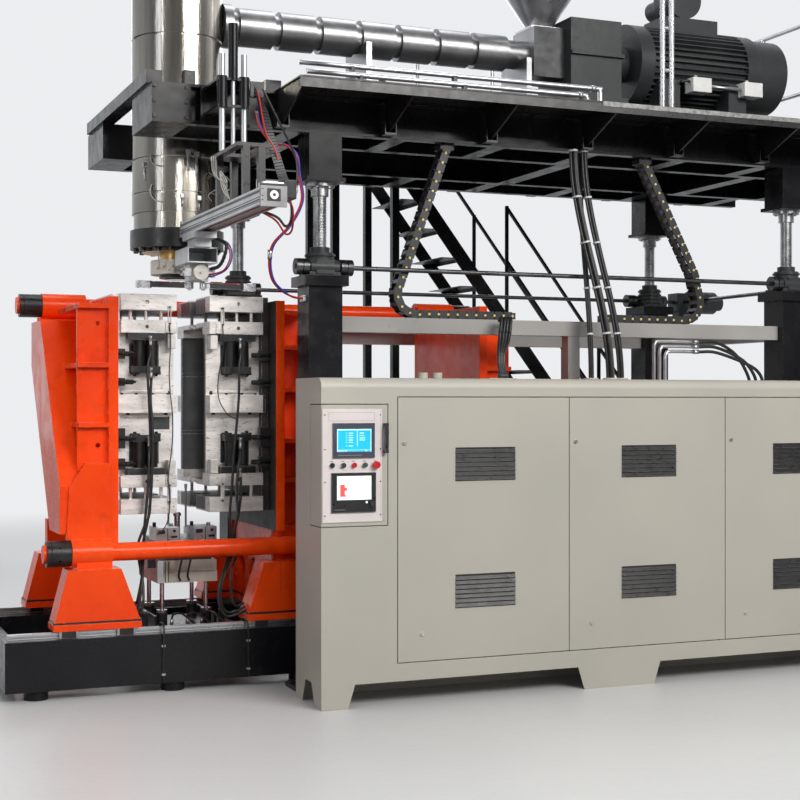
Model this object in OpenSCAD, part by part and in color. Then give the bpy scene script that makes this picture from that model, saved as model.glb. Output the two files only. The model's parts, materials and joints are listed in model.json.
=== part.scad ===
// Accumulator-head blow moulding machine for 200 litre drums.
// Millimetres, +Z up, +X along the machine from the clamp to the extruder motor.
// The origin is on the floor, under the middle of the machine's outer box.

/* [Clamp unit] */
// Centre of the mould and of the die head along the machine
mould_x = -2000; // [-2010:1:-1990]
// Distance between the two platen faces at rest
daylight = 1040; // [1030:1:1050]
// Width of a platen across the machine
platen_w = 1150; // [1130:2:1150]
// Lower edge of the platen plates
platen_low = 985; // [980:1:990]
// Upper edge of the platen plates
platen_high = 2500; // [2490:1:2505]
// Thickness of a platen plate
platen_t = 60; // [50:1:65]
// Depth of an outer platen, from its face to its outer flange
platen_depth = 365; // [355:1:375]
// Diameter of the tie bars
tie_d = 115; // [105:1:120]
// Diameter of the tie bar bosses
boss_d = 176; // [166:1:180]
// Diameter of the tie bar nuts
nut_d = 162; // [150:1:170]
// Length of the tie bar nuts
nut_len = 150; // [130:1:160]
// Height of the front lower tie bar
tie_low_z = 890; // [885:1:895]
// Height of the rear upper tie bar
tie_high_z = 2500; // [2490:1:2510]
// Plate on the clamp side of the yoke, along the machine
yoke_x = 0; // [-30:1:30]
// Diameter of the clamp cylinder
clamp_cyl_d = 300; // [260:1:320]
// Diameter of the clamp piston rod
clamp_rod_d = 140; // [120:1:160]

/* [Mould] */
// Thickness of one mould half
mould_t = 410; // [400:1:420]
// Width of the mould's back plates and ring plates
mould_w = 870; // [850:2:880]
// Radius of the drum cavity
drum_r = 290; // [280:1:295]
// Radius of the neck and pinch openings
neck_r = 82; // [80:1:90]

/* [Base] */
// Left end of the clamp base
base_left = -3230; // [-3240:1:-3225]
// Right end of the clamp base
base_right = 600; // [560:1:700]
// Width of the clamp base
base_w = 1350; // [1330:2:1360]
// Top of the clamp base
base_top = 370; // [366:1:374]
// Height of the levelling pads
pad_h = 60; // [40:1:70]
// Width of a linear rail
rail_w = 45; // [40:1:50]

/* [Columns and platform] */
// Left column pair along the machine
col_left = -1300; // [-1310:1:-1290]
// Right column pair along the machine
col_right = 2320; // [2300:1:2330]
// Distance of a column pair from the machine's middle line
col_y = 930; // [925:1:935]
// Side of the square columns
col_w = 225; // [215:1:230]
// Height of the columns without their top plates
col_h = 2570; // [2560:1:2580]
// Diameter of the jack screws
jack_d = 85; // [75:1:90]
// Underside of the platform beams
beam_z = 3535; // [3525:1:3545]
// Height of the platform beams
beam_h = 245; // [235:1:255]
// Left end of the platform
plat_left = -2410; // [-2420:1:-2400]
// Right end of the platform
plat_right = 3210; // [3190:1:3220]
// Half width of the deck
deck_y = 1495; // [1480:1:1500]

/* [Die head and extruder] */
// Diameter of the head's outer shroud
head_d = 606; // [590:1:610]
// Diameter of the head's bolted flange
head_flange_d = 630; // [620:1:640]
// Height of the extruder's axis
screw_z = 4420; // [4400:1:4440]
// Diameter of the extruder screw
screw_d = 120; // [110:1:130]
// Diameter of the extruder's main motor
motor_d = 620; // [580:1:640]

/* [Cabinet] */
// Left end of the cabinet
cab_left = -1525; // [-1530:1:-1520]
// Length of the cabinet
cab_len = 4080; // [4060:1:4100]
// Front face of the cabinet
cab_front = -1595; // [-1600:1:-1590]
// Depth of the cabinet
cab_depth = 475; // [465:1:480]
// Height of the cabinet
cab_h = 1980; // [1960:1:2000]
// Sheet thickness of the cabinet and its doors
sheet = 4; // [3:0.5:5]
// Gap round the cabinet's doors
door_gap = 5; // [4:0.5:7]
// Width of one cabinet door
door_w = 1175; // [1160:1:1178]

/* [Stair] */
// Number of treads of the access stair
tread_count = 15; // [12:1:16]
// Clear width of the access stair
stair_w = 660; // [600:1:670]

/* [Hidden] */
fit = 0.3;
run_fit = 0.06;
hinge_in = 24;
hinge_back = 13;
pivot_d = 8;
$fn = 48;

tie_y = platen_w/2;
face_l = mould_x - daylight/2;
face_r = mould_x + daylight/2;
plate_l = face_l - platen_t;
flange_l = face_l - platen_depth;
flange_t = 35;
boss_end = 300;
boss_l = face_l - boss_end;
boss_r = yoke_x + 240;
rail_y = base_w/2 - 50;
rail_top = base_top + 42;
foot_z = base_top + 50;
foot_t = 40;
pedestal_top = 793;
inner_depth = 290;
back_r = face_r + inner_depth;
clamp_z = 1742;
web_t = 30;

mould_low = 1111;
mould_high = 2530;
back_t = 45;
part_l = face_l + mould_t;
body_w = mould_w - 190;
ring_up = [2280, 2363];
ring_dn = [1282, 1362];
cap_up = [2427, mould_high];
cap_dn = [mould_low, 1208];
mid_z = [1763, 1879];
pin_d = 22;
ram_x = face_l + 215;
ram_y = body_w/2 + 47;

plate_top = col_h + 65;
jack_top = plate_top + 185;
shaft_z = plate_top + 55;
shaft_y = col_y + 70;
shaft_d = 30;
bevel_x = col_right + 350;
stub_z = 3232;
deck_top = beam_z + beam_h + 8;
beam_out = 1025;
beam_in = 475;
tie_rail = [col_h - 287, col_h - 187];

cab_right = cab_left + cab_len;
cab_back = cab_front + cab_depth;
control_w = 423;
control_z = [cab_h - 888, cab_h - 162];
control_wrap = 196;
doors_left = cab_left + 492;
door_pitch = door_w + door_gap;
door_z = [255, cab_h - 118];
panel_z = [control_z[0] + 24, control_z[1] - 26];
button_z = control_z[0] + 365;
knob_z = control_z[0] + 132;
unit_high = [button_z + 44, panel_z[1] - 84];
unit_low = [panel_z[0] + 60, button_z - 45];
stem_d = 20;
knob_d = 10;

axis_z = [2910, 3005];
axis_x = [mould_x - 75, mould_x + 55];
tube_z = [2722, 2822];

module span(x, y, z) {
    translate([x[0], y[0], z[0]]) cube([x[1] - x[0], y[1] - y[0], z[1] - z[0]]);
}

module rod_x(d, x, y, z) {
    translate([x[0], y, z]) rotate([0, 90, 0]) cylinder(d = d, h = x[1] - x[0]);
}

module rod_y(d, x, y, z) {
    translate([x, y[0], z]) rotate([-90, 0, 0]) cylinder(d = d, h = y[1] - y[0]);
}

module rod_z(d, x, y, z) {
    translate([x, y, z[0]]) cylinder(d = d, h = z[1] - z[0]);
}

// An outline drawn in x and z, pulled along y
module slab_y(outline, y) {
    translate([0, y[1], 0]) rotate([90, 0, 0]) linear_extrude(y[1] - y[0]) polygon(outline);
}

// An outline drawn in y and z, pulled along x
module slab_x(outline, x) {
    translate([x[0], 0, 0]) rotate([90, 0, 90]) linear_extrude(x[1] - x[0]) polygon(outline);
}

// A second copy, mirrored across the machine's middle plane
module both_sides() {
    children();
    mirror([0, 1, 0]) children();
}

// Mirrored along the machine about the mould's centre
module across_mould() {
    translate([2*mould_x, 0, 0]) mirror([1, 0, 0]) children();
}

module at_columns() {
    for (x = [col_left, col_right], s = [-1, 1]) translate([x, s*col_y, 0]) children();
}

// Welded base of the clamp: two box beams, cross beams and its levelling pads
module clamp_base() {
    beam_y = [base_w/2 - 200, base_w/2];
    color([0.09, 0.09, 0.11]) {
        both_sides() {
            span([base_left, base_right], beam_y, [pad_h, base_top]);
            for (i = [0:4])
                rod_z(150, base_left + 200 + i*(base_right - base_left - 400)/4,
                    base_w/2 - 100, [0, pad_h]);
        }
        for (x = [base_left, mould_x - 330, mould_x + 230, base_right - 600, base_right - 150])
            span([x, x + 100], [-beam_y[0], beam_y[0]], [pad_h, base_top - 40]);
    }
}

module guide_rails() {
    color([0.75, 0.76, 0.78]) both_sides() difference() {
        span([base_left + 20, base_right - 20], [rail_y - rail_w/2, rail_y + rail_w/2],
            [base_top, rail_top]);
        for (s = [-1, 1])
            span([base_left, base_right], [rail_y + s*rail_w/2 - 6, rail_y + s*rail_w/2 + 6],
                [base_top + 16, base_top + 28]);
    }
}

// Carriage that rides on a linear rail, centred on x = 0
module carriage(x, side) {
    difference() {
        span([x, x + 120], [side*rail_y - 50, side*rail_y + 50], [base_top + 8, foot_z]);
        span([x - 1, x + 121], [side*rail_y - rail_w/2 - fit, side*rail_y + rail_w/2 + fit],
            [base_top, rail_top + fit]);
    }
}

// Tapered box foot under a platen, with its foot plate and two carriages
module pedestal(foot, top, side) {
    y = side > 0 ? [base_w/2 - 200, base_w/2] : [-base_w/2, 200 - base_w/2];
    foot_top = foot_z + foot_t;
    slab_y([[foot[0], foot_top], [foot[1], foot_top], [top[1], pedestal_top], [top[0], pedestal_top]], y);
    span([foot[0] - 5, foot[1] + 5], [y[0] - 5, y[1] + 5], [foot_z, foot_top]);
    carriage(foot[0] + 30, side);
    carriage(foot[1] - 150, side);
    for (x = [foot[0] + 8, foot[0] + 60, foot[1] - 60, foot[1] - 8])
        rod_z(24, x, side*(base_w/2 - 4) - side*6, [foot_top - 2, foot_top + 14]);
}

// Cross web that ties a platen's two pedestals, with round lightening holes
module cross_web(x, low_side) {
    difference() {
        span(x, [-base_w/2 + 150, base_w/2 - 150], [foot_z, platen_low + 20]);
        for (y = [-300, 0, 300]) rod_x(190, [x[0] - 1, x[1] + 1], y, 660);
        if (low_side) rod_x(tie_d + 40, [x[0] - 1, x[1] + 1], -tie_y, tie_low_z);
    }
}

// Diagonal box beam between the two tie bars, seen from the end of the machine
function band(z0, z1) = let (
        run = 2*tie_y/(tie_high_z - tie_low_z),
        half = 300,
        y1 = -tie_y + (z1 - tie_low_z)*run,
        y0 = -tie_y + (z0 - tie_low_z)*run,
        left_clip = z0 + (half - tie_y - y0)/run,
        right_clip = z1 - (y1 + half - tie_y)/run)
    [[y1 - half, z1], [tie_y, z1], [tie_y, right_clip], [y0 + half, z0], [-tie_y, z0], [-tie_y, left_clip]];

module band_shell(z0, z1, x) {
    outer = band(z0, z1);
    difference() {
        slab_x(outer, x);
        slab_x([[outer[0][0] + 30, z1 - 25], [tie_y - 25, z1 - 25], [tie_y - 25, outer[2][1] + 8],
            [outer[3][0] - 30, z0 + 25], [-tie_y + 25, z0 + 25], [-tie_y + 25, outer[5][1] - 8]],
            [x[0] - 1, x[1] + 1]);
    }
}

// Outer platen weldment, drawn as the left one: plate, diagonal beam, ribs, bosses and feet
module outer_platen(face, low, high) {
    back = face - platen_t;
    rib = face - 250;
    run = 2*tie_y/(tie_high_z - tie_low_z);
    b0 = low + 25;
    b1 = high - 120;
    diag = band(b0, b1);
    cover_y = [-tie_y + 45, -tie_y + 75];
    difference() {
        union() {
            span([back, face], [-tie_y, tie_y], [low, high]);
            band_shell(b0, b1, [face - platen_depth + flange_t, back]);
            slab_x(diag, [face - platen_depth, face - platen_depth + flange_t]);
            for (z = [high - 62, 2066, 1690]) {
                y_in = min(diag[0][0] + 10, diag[0][0] - (b1 - z)*run + 10);
                span([rib + 2, back], [-tie_y, y_in], [z - 15, z + 15]);
            }
            for (z = [low + 62, 1400, 1760]) {
                y_in = max(diag[3][0] - 10, diag[3][0] + (z - b0)*run - 10);
                span([rib + 2, back], [y_in, tie_y], [z - 15, z + 15]);
            }
            slab_y([[back, high - 48], [rib, high - 48], [rib, 1400], [back, 1400]], cover_y);
            slab_y([[back, 1450], [rib + 40, 1450], [rib - 60, 1300], [rib - 80, tie_low_z],
                [back, tie_low_z]], [-tie_y - 15, -tie_y + web_t - 15]);
            span([rib + 40, back], [-tie_y - 15, cover_y[1]], [1420, 1450]);
            slab_y([[back, low + 48], [rib, low + 48], [rib, 1960], [rib + 40, 2015], [rib - 60, 2130],
                [rib - 80, tie_high_z], [back, tie_high_z]], [tie_y - web_t + 15, tie_y + 15]);
            rod_x(boss_d, [face - boss_end, face - 50], -tie_y, tie_low_z);
            rod_x(boss_d, [face - boss_end, face], tie_y, tie_high_z);
            span([face - boss_end + 30, face - 50], [-tie_y - 70, -tie_y + 90], [pedestal_top, tie_low_z]);
            span([back, face], [-tie_y, -tie_y + 90], [tie_low_z - 20, low]);
            span([face - boss_end + 30, face], [tie_y - 80, tie_y + 15], [pedestal_top, low + 40]);
            cross_web([back, back + web_t], false);
        }
        for (p = [[-tie_y, tie_low_z], [tie_y, tie_high_z]]) {
            rod_x(tie_d + 2*fit, [face - platen_depth - 1, face + 1], p[0], p[1]);
            rod_x(nut_d + 8, [face - platen_depth - 1, face - boss_end], p[0], p[1]);
        }
        for (z = [2330, 1560]) rod_y(30, rib + 130, [-tie_y - 20, cover_y[1] + 1], z);
    }
    pedestal([face - 415, face + 122], [face - 330, face], -1);
    pedestal([face - 415, face + 122], [face - 330, face], 1);
}

module left_platen() {
    color([0.93, 0.27, 0.09]) outer_platen(face_l, platen_low, platen_high);
}

module yoke() {
    color([0.93, 0.27, 0.09]) difference() {
        translate([yoke_x, 0, 0]) mirror([1, 0, 0]) outer_platen(0, platen_low, platen_high);
        rod_x(clamp_cyl_d + 2*fit, [yoke_x - 1, yoke_x + platen_depth + 1], 0, clamp_z);
    }
}

module tie_bars() {
    tail = 20;
    color([0.93, 0.27, 0.09]) for (p = [[-tie_y, tie_low_z], [tie_y, tie_high_z]])
        rod_x(tie_d, [boss_l - nut_len - tail, yoke_x + boss_end + nut_len + tail], p[0], p[1]);
}

// Round nuts with a collar, ring grooves and tommy-bar holes, on the four bar ends
module tie_nuts() {
    color([0.1, 0.1, 0.1]) for (p = [[-tie_y, tie_low_z], [tie_y, tie_high_z]])
        for (end = [[boss_l, -1], [yoke_x + boss_end, 1]])
            translate([end[0], p[0], p[1]]) rotate([0, 90*end[1], 0]) difference() {
                union() {
                    cylinder(d = nut_d, h = nut_len - 28);
                    translate([0, 0, nut_len - 24]) cylinder(d = nut_d, h = 24);
                    cylinder(d = nut_d - 12, h = nut_len);
                }
                translate([0, 0, -1]) cylinder(d = tie_d + 2*fit, h = nut_len + 2);
                for (a = [0:60:300]) rotate([0, 0, a])
                    translate([nut_d/2 - 12, 0, nut_len/2]) rotate([0, 90, 0]) cylinder(d = 16, h = 30);
            }
}

// Inner platen: mounting plate, ribs, back plate and feet; it clears the upper tie bar
module right_platen() {
    corner = 100;
    back = back_r - 30;
    color([0.93, 0.27, 0.09]) {
        difference() {
            union() {
                span([face_r, face_r + platen_t], [-tie_y, tie_y], [platen_low, platen_high]);
                slab_x([[-300, platen_low], [300, platen_low], [420, 1300], [420, 2180],
                    [300, platen_high - 60], [-300, platen_high - 60], [-420, 2180], [-420, 1300]],
                    [back, back_r]);
                for (z = [platen_low, 1300, 1560, 1900, 2180, platen_high - 90])
                    span([face_r + platen_t, back], [-tie_y + 60, tie_y - 160], [z, z + web_t]);
                for (y = [-300, 270])
                    span([face_r + platen_t, back], [y, y + web_t], [platen_low, platen_high - 60]);
                cross_web([face_r + 20, face_r + platen_t], true);
                both_sides() span([face_r, face_r + 200], [475, 505], [pedestal_top, platen_low + 10]);
            }
            span([face_r - 1, back_r + 1], [tie_y - corner, tie_y + 1],
                [tie_high_z - corner, platen_high + 1]);
            rod_x(tie_d + 60, [face_r - 1, back_r + 1], tie_y, tie_high_z);
        }
        rod_x(clamp_rod_d + 90, [back_r, back_r + 50], 0, clamp_z);
        pedestal([face_r - 220, face_r + 320], [face_r - 110, face_r + 210], -1);
        pedestal([face_r - 220, face_r + 320], [face_r - 110, face_r + 210], 1);
    }
}

module clamp_rod() {
    color([0.8, 0.8, 0.82])
        rod_x(clamp_rod_d, [back_r + 50, yoke_x + 230], 0, clamp_z);
}

// Hydraulic cylinder in the yoke: flange, barrel, end cap, ports
module clamp_cylinder() {
    tail = 840;
    color([0.12, 0.12, 0.13]) difference() {
        union() {
            rod_x(clamp_cyl_d, [yoke_x - 90, yoke_x + tail - 60], 0, clamp_z);
            rod_x(clamp_cyl_d + 110, [yoke_x - 60, yoke_x], 0, clamp_z);
            rod_x(clamp_cyl_d + 50, [yoke_x + tail - 60, yoke_x + tail], 0, clamp_z);
            for (x = [yoke_x + 420, yoke_x + tail - 110])
                rod_z(60, x, 0, [clamp_z + clamp_cyl_d/2 - 20, clamp_z + clamp_cyl_d/2 + 40]);
        }
        rod_x(clamp_rod_d + 2*run_fit, [yoke_x - 91, yoke_x + tail - 90], 0, clamp_z);
    }
}

// Mould half, drawn as the left one: back plate, cavity block, end plates and guide pins
module mould_half() {
    back = face_l + back_t;
    difference() {
        union() {
            span([face_l, back], [-mould_w/2 + 35, mould_w/2 - 35], [mould_low, mould_high]);
            span([back, part_l], [-body_w/2, body_w/2], [ring_dn[1], ring_up[0]]);
            span([face_l + 30, part_l - 2], [-mould_w/2, mould_w/2], mid_z);
            for (z = [cap_up, cap_dn]) span([back, part_l], [-mould_w/2, mould_w/2], z);
            both_sides() for (z = [[mid_z[1] + 14, mid_z[1] + 28], [mid_z[0] - 28, mid_z[0] - 14]])
                span([face_l + 60, part_l - 40], [body_w/2 - 1, body_w/2 + 20], z);
        }
        translate([mould_x - daylight/2 + mould_t, 0, 0]) {
            rod_z(2*drum_r, 0, 0, [ring_dn[1] - 1, ring_up[0] + 1]);
            for (z = [1610, 2010]) rod_z(2*drum_r + 16, 0, 0, [z, z + 24]);
            rod_z(2*neck_r, 0, 0, [mould_low - 1, mould_high + 1]);
            span([-neck_r - 40, 1], [-35, 35], [mould_low - 1, cap_dn[1] + 1]);
        }
        for (y = [-mould_w/2 - 1, mould_w/2 - 29]) {
            rod_y(26, ram_x, [y, y + 30], (cap_up[0] + cap_up[1])/2);
            rod_y(26, ram_x, [y, y + 30], (cap_dn[0] + cap_dn[1])/2);
        }
    }
    for (x = [-100, 0, 100], y = [-mould_w/2 + 40, mould_w/2 - 40]) {
        rod_z(pin_d, ram_x + x, y, [ring_up[0] + 8, cap_up[0] + 1]);
        rod_z(pin_d, ram_x + x, y, [cap_dn[1] - 1, ring_dn[1] - 8]);
    }
}

module left_mould() {
    color([0.72, 0.71, 0.68]) mould_half();
}

module right_mould() {
    color([0.72, 0.71, 0.68]) across_mould() mould_half();
}

// End ring of the mould with its ram rods, as the left upper one; low turns it over
module mould_ring(z, low) {
    back = face_l + back_t;
    out = low ? z[1] : z[0];
    difference() {
        union() {
            span([back + fit, part_l], [-mould_w/2, mould_w/2], z);
            both_sides() span([ram_x - 120, ram_x + 120], [ram_y - 45, ram_y + 45],
                low ? [out, out + 46] : [out - 46, out]);
        }
        translate([part_l, 0, 0]) {
            rod_z(2*drum_r - 70, 0, 0, low ? [z[0] + 30, z[1] + 1] : [z[0] - 1, z[1] - 30]);
            rod_z(2*neck_r, 0, 0, [z[0] - 1, z[1] + 1]);
        }
        for (x = [-100, 0, 100], y = [-mould_w/2 + 40, mould_w/2 - 40])
            rod_z(pin_d + 2*fit, ram_x + x, y, [z[0] - 50, z[1] + 50]);
    }
    both_sides() for (x = [-42, 42])
        rod_z(34, ram_x + x, ram_y, low ? [out + 45, out + 125] : [out - 125, out - 45]);
    span([part_l - 75, part_l - 42], [-mould_w/2 - 12, -mould_w/2], [z[0] + (low ? 8 : 4), z[1] - 14]);
}

module ring_left_upper() {
    color([0.7, 0.7, 0.68]) mould_ring(ring_up, false);
}

module ring_left_lower() {
    color([0.7, 0.7, 0.68]) mould_ring(ring_dn, true);
}

module ring_right_upper() {
    color([0.7, 0.7, 0.68]) across_mould() mould_ring(ring_up, false);
}

module ring_right_lower() {
    color([0.7, 0.7, 0.68]) across_mould() mould_ring(ring_dn, true);
}

// Twin-barrel ram with its flanges, between the cavity block and a moving ring
module ram(near, way) {
    z = function (a, b) way > 0 ? [near + a, near + b] : [near - b, near - a];
    difference() {
        union() {
            for (x = [-42, 42]) rod_z(74, ram_x + x, ram_y, z(50, 215));
            span([ram_x - 90, ram_x + 90], [ram_y - 45, ram_y + 42], z(215, 259));
            span([ram_x - 96, ram_x + 96], [ram_y - 47, ram_y - 37], z(70, 259));
            for (x = [-70, 70]) rod_z(22, ram_x + x, ram_y, z(258, 280));
        }
        for (x = [-42, 42]) rod_z(34 + 2*fit, ram_x + x, ram_y, z(40, 190));
    }
}

// Rams and the clamps that hold the left mould half to its platen
module rams_half() {
    both_sides() {
        ram(ring_up[0], -1);
        ram(ring_dn[1], 1);
        for (z = [[2110, 2175], [1937, 1988], [1537, 1666], [1400, 1472]])
            span([face_l, face_l + 70], [mould_w/2 - 35, mould_w/2 + 18], z);
    }
}

module left_rams() {
    color([0.07, 0.07, 0.08]) rams_half();
}

module right_rams() {
    color([0.07, 0.07, 0.08]) across_mould() rams_half();
}

// Square columns with foot plates, anchor holes and bored top plates
module columns() {
    wall = 12;
    foot = 350;
    foot_plate = 30;
    color([0.08, 0.08, 0.1]) at_columns() {
        difference() {
            span([-foot/2, foot/2], [-foot/2, foot/2], [0, foot_plate]);
            for (x = [-1, 1], y = [-1, 1]) rod_z(26, x*145, y*145, [-1, foot_plate + 1]);
        }
        difference() {
            span([-col_w/2, col_w/2], [-col_w/2, col_w/2], [foot_plate, col_h]);
            span([wall - col_w/2, col_w/2 - wall], [wall - col_w/2, col_w/2 - wall],
                [foot_plate + 12, col_h + 1]);
        }
        difference() {
            span([-145, 145], [-145, 145], [col_h, plate_top]);
            rod_z(jack_d + 15, 0, 0, [col_h - 1, plate_top + 1]);
        }
    }
    color([0.08, 0.08, 0.1]) both_sides() for (z = [base_top - 60, pad_h + 60])
        span([col_left - 60, col_left + 60], [base_w/2, col_y - col_w/2], [z, z + 20]);
}

// Square tubes between the columns, and the post under the front one
module column_rails() {
    half = 50;
    post_x = 525;
    inner = [col_left + col_w/2, col_right - col_w/2];
    color([0.07, 0.07, 0.08]) {
        both_sides() {
            span(inner, [col_y - half, col_y + half], tie_rail);
            span([post_x - 45, post_x + 45], [col_y - 45, col_y + 45], [12, tie_rail[0]]);
            span([post_x - 90, post_x + 90], [col_y - 90, col_y + 90], [0, 12]);
        }
        span([col_right - half, col_right + half], [-col_y + col_w/2, col_y - col_w/2], tie_rail);
        span([col_right - half, col_right + half], [-col_y + col_w/2, col_y - col_w/2], [300, 400]);
    }
}

// Screw jack housing on a column, with the worm housing beside the screw
module jack_housing(side) {
    difference() {
        union() {
            span([-105, 105], [-105, 105], [plate_top, plate_top + 22]);
            rod_z(176, 0, 0, [plate_top, plate_top + 150]);
            for (z = [30, 62, 94, 126]) rod_z(196, 0, 0, [plate_top + z, plate_top + z + 14]);
            rod_z(128, 0, 0, [plate_top + 145, jack_top]);
            rod_x(92, [-96, 96], side*(shaft_y - col_y), shaft_z);
            span([-60, 60], [side > 0 ? 0 : -112, side > 0 ? 112 : 0], [plate_top + 10, plate_top + 100]);
        }
        rod_z(jack_d + 1, 0, 0, [plate_top - 1, jack_top + 1]);
        rod_x(shaft_d + 2*run_fit, [-120, 120], side*(shaft_y - col_y), shaft_z);
    }
}

// Bevel box at the right end of a line shaft, on an arm from the column top
module bevel_box() {
    arm_z = [col_h - 110, col_h - 90];
    face = col_right + col_w/2;
    out = col_y + col_w/2;
    difference() {
        union() {
            span([face, bevel_x + 75], [out - 100, out], arm_z);
            slab_y([[face, arm_z[0]], [face, arm_z[0] - 160], [bevel_x - 60, arm_z[0]]],
                [out - 60, out - 40]);
            span([bevel_x - 50, bevel_x + 50], [out - 100, out], [arm_z[1], shaft_z - 70]);
            span([bevel_x - 75, bevel_x + 75], [shaft_y - 75, shaft_y + 75], [shaft_z - 75, shaft_z + 75]);
        }
        rod_x(shaft_d + 2*run_fit, [bevel_x - 80, bevel_x - 35], shaft_y, shaft_z);
        rod_y(shaft_d + 2*run_fit, bevel_x, [shaft_y - 80, shaft_y - 35], shaft_z);
    }
}

module jack_gearboxes() {
    color([0.06, 0.06, 0.07]) {
        for (x = [col_left, col_right], s = [-1, 1]) translate([x, s*col_y, 0]) jack_housing(s);
        both_sides() bevel_box();
        rod_x(190, [bevel_x + 75, bevel_x + 330], shaft_y, shaft_z);
        rod_x(130, [bevel_x + 330, bevel_x + 400], shaft_y, shaft_z);
    }
}

// Line shaft through the worm housings of one side, with its coupling hubs
module line_shaft(side) {
    hub = [107, 190];
    y = side*shaft_y;
    rod_x(shaft_d, [col_left - 195, bevel_x - 40], y, shaft_z);
    for (x = [col_left, col_right], s = [-1, 1]) {
        at = s > 0 ? [x + hub[0], x + hub[1]] : [x - hub[1], x - hub[0]];
        rod_x(104, [at[0], at[0] + 38], y, shaft_z);
        rod_x(88, [at[0] + 30, at[1] - 30], y, shaft_z);
        rod_x(104, [at[1] - 38, at[1]], y, shaft_z);
    }
}

module lift_shaft_front() {
    color([0.3, 0.3, 0.32]) line_shaft(-1);
}

module lift_shaft_rear() {
    color([0.3, 0.3, 0.32]) line_shaft(1);
}

module lift_shaft_cross() {
    color([0.3, 0.3, 0.32]) {
        rod_y(shaft_d, bevel_x, [40 - shaft_y, shaft_y - 40], shaft_z);
        for (y = [-700, 620]) rod_y(100, bevel_x, [y, y + 80], shaft_z);
    }
}

// Jack screws: threaded spindle, reduced core at each groove, and top flange
module jack_screws() {
    low = 2060;
    flange_h = 26;
    color([0.35, 0.35, 0.36]) at_columns() {
        difference() {
            rod_z(jack_d, 0, 0, [low, stub_z - 85]);
            for (z = [jack_top + 14:18:stub_z - 110]) difference() {
                rod_z(jack_d + 2, 0, 0, [z, z + 7]);
                rod_z(jack_d - 10, 0, 0, [z - 1, z + 8]);
            }
        }
        rod_z(112, 0, 0, [stub_z - 85, stub_z - flange_h]);
        difference() {
            rod_z(190, 0, 0, [stub_z - flange_h, stub_z]);
            for (a = [0:60:300]) rotate([0, 0, a + 30]) translate([78, 0, 0])
                rod_z(14, 0, 0, [stub_z - flange_h - 1, stub_z - 14]);
        }
    }
}

// C-channel along x with its flanges towards the outside
module channel_x(x, web_y, side, w) {
    t = 18;
    span(x, side > 0 ? [web_y, web_y + 14] : [web_y - 14, web_y], [beam_z, beam_z + beam_h]);
    for (z = [beam_z, beam_z + beam_h - t])
        span(x, side > 0 ? [web_y, web_y + w] : [web_y - w, web_y], [z, z + t]);
}

// Platform frame: fork beams round the head, cross beams and column stubs
module platform_beams() {
    tip = 243;
    stub_w = 220;
    color([0.09, 0.09, 0.11]) {
        both_sides() {
            channel_x([plat_left + tip, plat_right], beam_out - 70, 1, 70);
            channel_x([plat_left + tip, plat_right], beam_in + 70, -1, 70);
            span([plat_left, plat_left + tip], [beam_in, beam_out], [beam_z, beam_z + beam_h]);
            for (x = [-1500, -780, -60, 660, 1380, 2100, 2900])
                span([x - 60, x + 60], [beam_in + 70, beam_out - 70], [beam_z, beam_z + 160]);
        }
        for (x = [-1480, 660, 2250, plat_right - 130])
            span([x, x + 130], [-beam_in - 1, beam_in + 1], [beam_z, beam_z + beam_h]);
        at_columns() {
            span([-stub_w/2, stub_w/2], [-stub_w/2, stub_w/2], [stub_z, beam_z]);
            span([-stub_w/2 - 20, stub_w/2 + 20], [-stub_w/2 - 20, stub_w/2 + 20], [stub_z, stub_z + 24]);
        }
        for (x = [mould_x - 430, mould_x + 330])
            span([x, x + 100], [-beam_out + 60, beam_out - 60], [beam_z + beam_h, beam_z + beam_h + 80]);
    }
}

// Deck plates on the beams, their brackets, edge channel and the rear handrail
module platform_deck() {
    left = -1620;
    carrier = mould_x + 430;
    z0 = beam_z + beam_h;
    edge = 60;
    color([0.12, 0.12, 0.14]) {
        difference() {
            span([left, plat_right], [-deck_y, deck_y], [z0, deck_top]);
            span([left - 1, -1490], [-beam_in, beam_in], [z0 - 1, deck_top + 1]);
            span([left - 1, carrier + 2], [58 - beam_out, beam_out - 58], [z0 - 1, deck_top + 1]);
        }
        both_sides() {
            span([left, plat_right], [deck_y - 8, deck_y], [z0 - edge, z0]);
            for (x = [-1610:720:2800]) {
                slab_x([[beam_out, z0], [beam_out, beam_z + 20], [beam_out + 60, beam_z + 20],
                    [deck_y - 8, z0 - edge], [deck_y - 8, z0]], [x, x + 12]);
                span([x - 34, x + 46], [beam_out, beam_out + 90], [beam_z + 8, beam_z + 20]);
                for (e = [-34, 40])
                    span([x + e, x + e + 6], [beam_out, beam_out + 90], [beam_z + 20, beam_z + 92]);
            }
        }
        handrails();
    }
}

// Handrails that stand on the deck: the rear one, the right one and the front ladder posts
module handrails() {
    post_h = 1100;
    rail_d = 34;
    foot = deck_top + fit;
    end_x = plat_right - 40;
    rear_y = deck_y - 40;
    for (x = [400:690:end_x - 400]) rod_z(rail_d, x, rear_y, [foot, deck_top + post_h]);
    for (y = [-rear_y, -500, 500, rear_y]) rod_z(rail_d, end_x, y, [foot, deck_top + post_h]);
    for (h = [550, post_h]) {
        rod_x(rail_d, [400, end_x - rail_d/2 - fit], rear_y, deck_top + h);
        rod_y(rail_d, end_x, [-rear_y, rear_y], deck_top + h);
    }
    for (x = [920, 990]) rod_z(rail_d, x, -deck_y + 30, [foot, deck_top + post_h]);
    for (h = [250:280:post_h]) rod_x(24, [920, 990], -deck_y + 30, deck_top + h);
}

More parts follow.
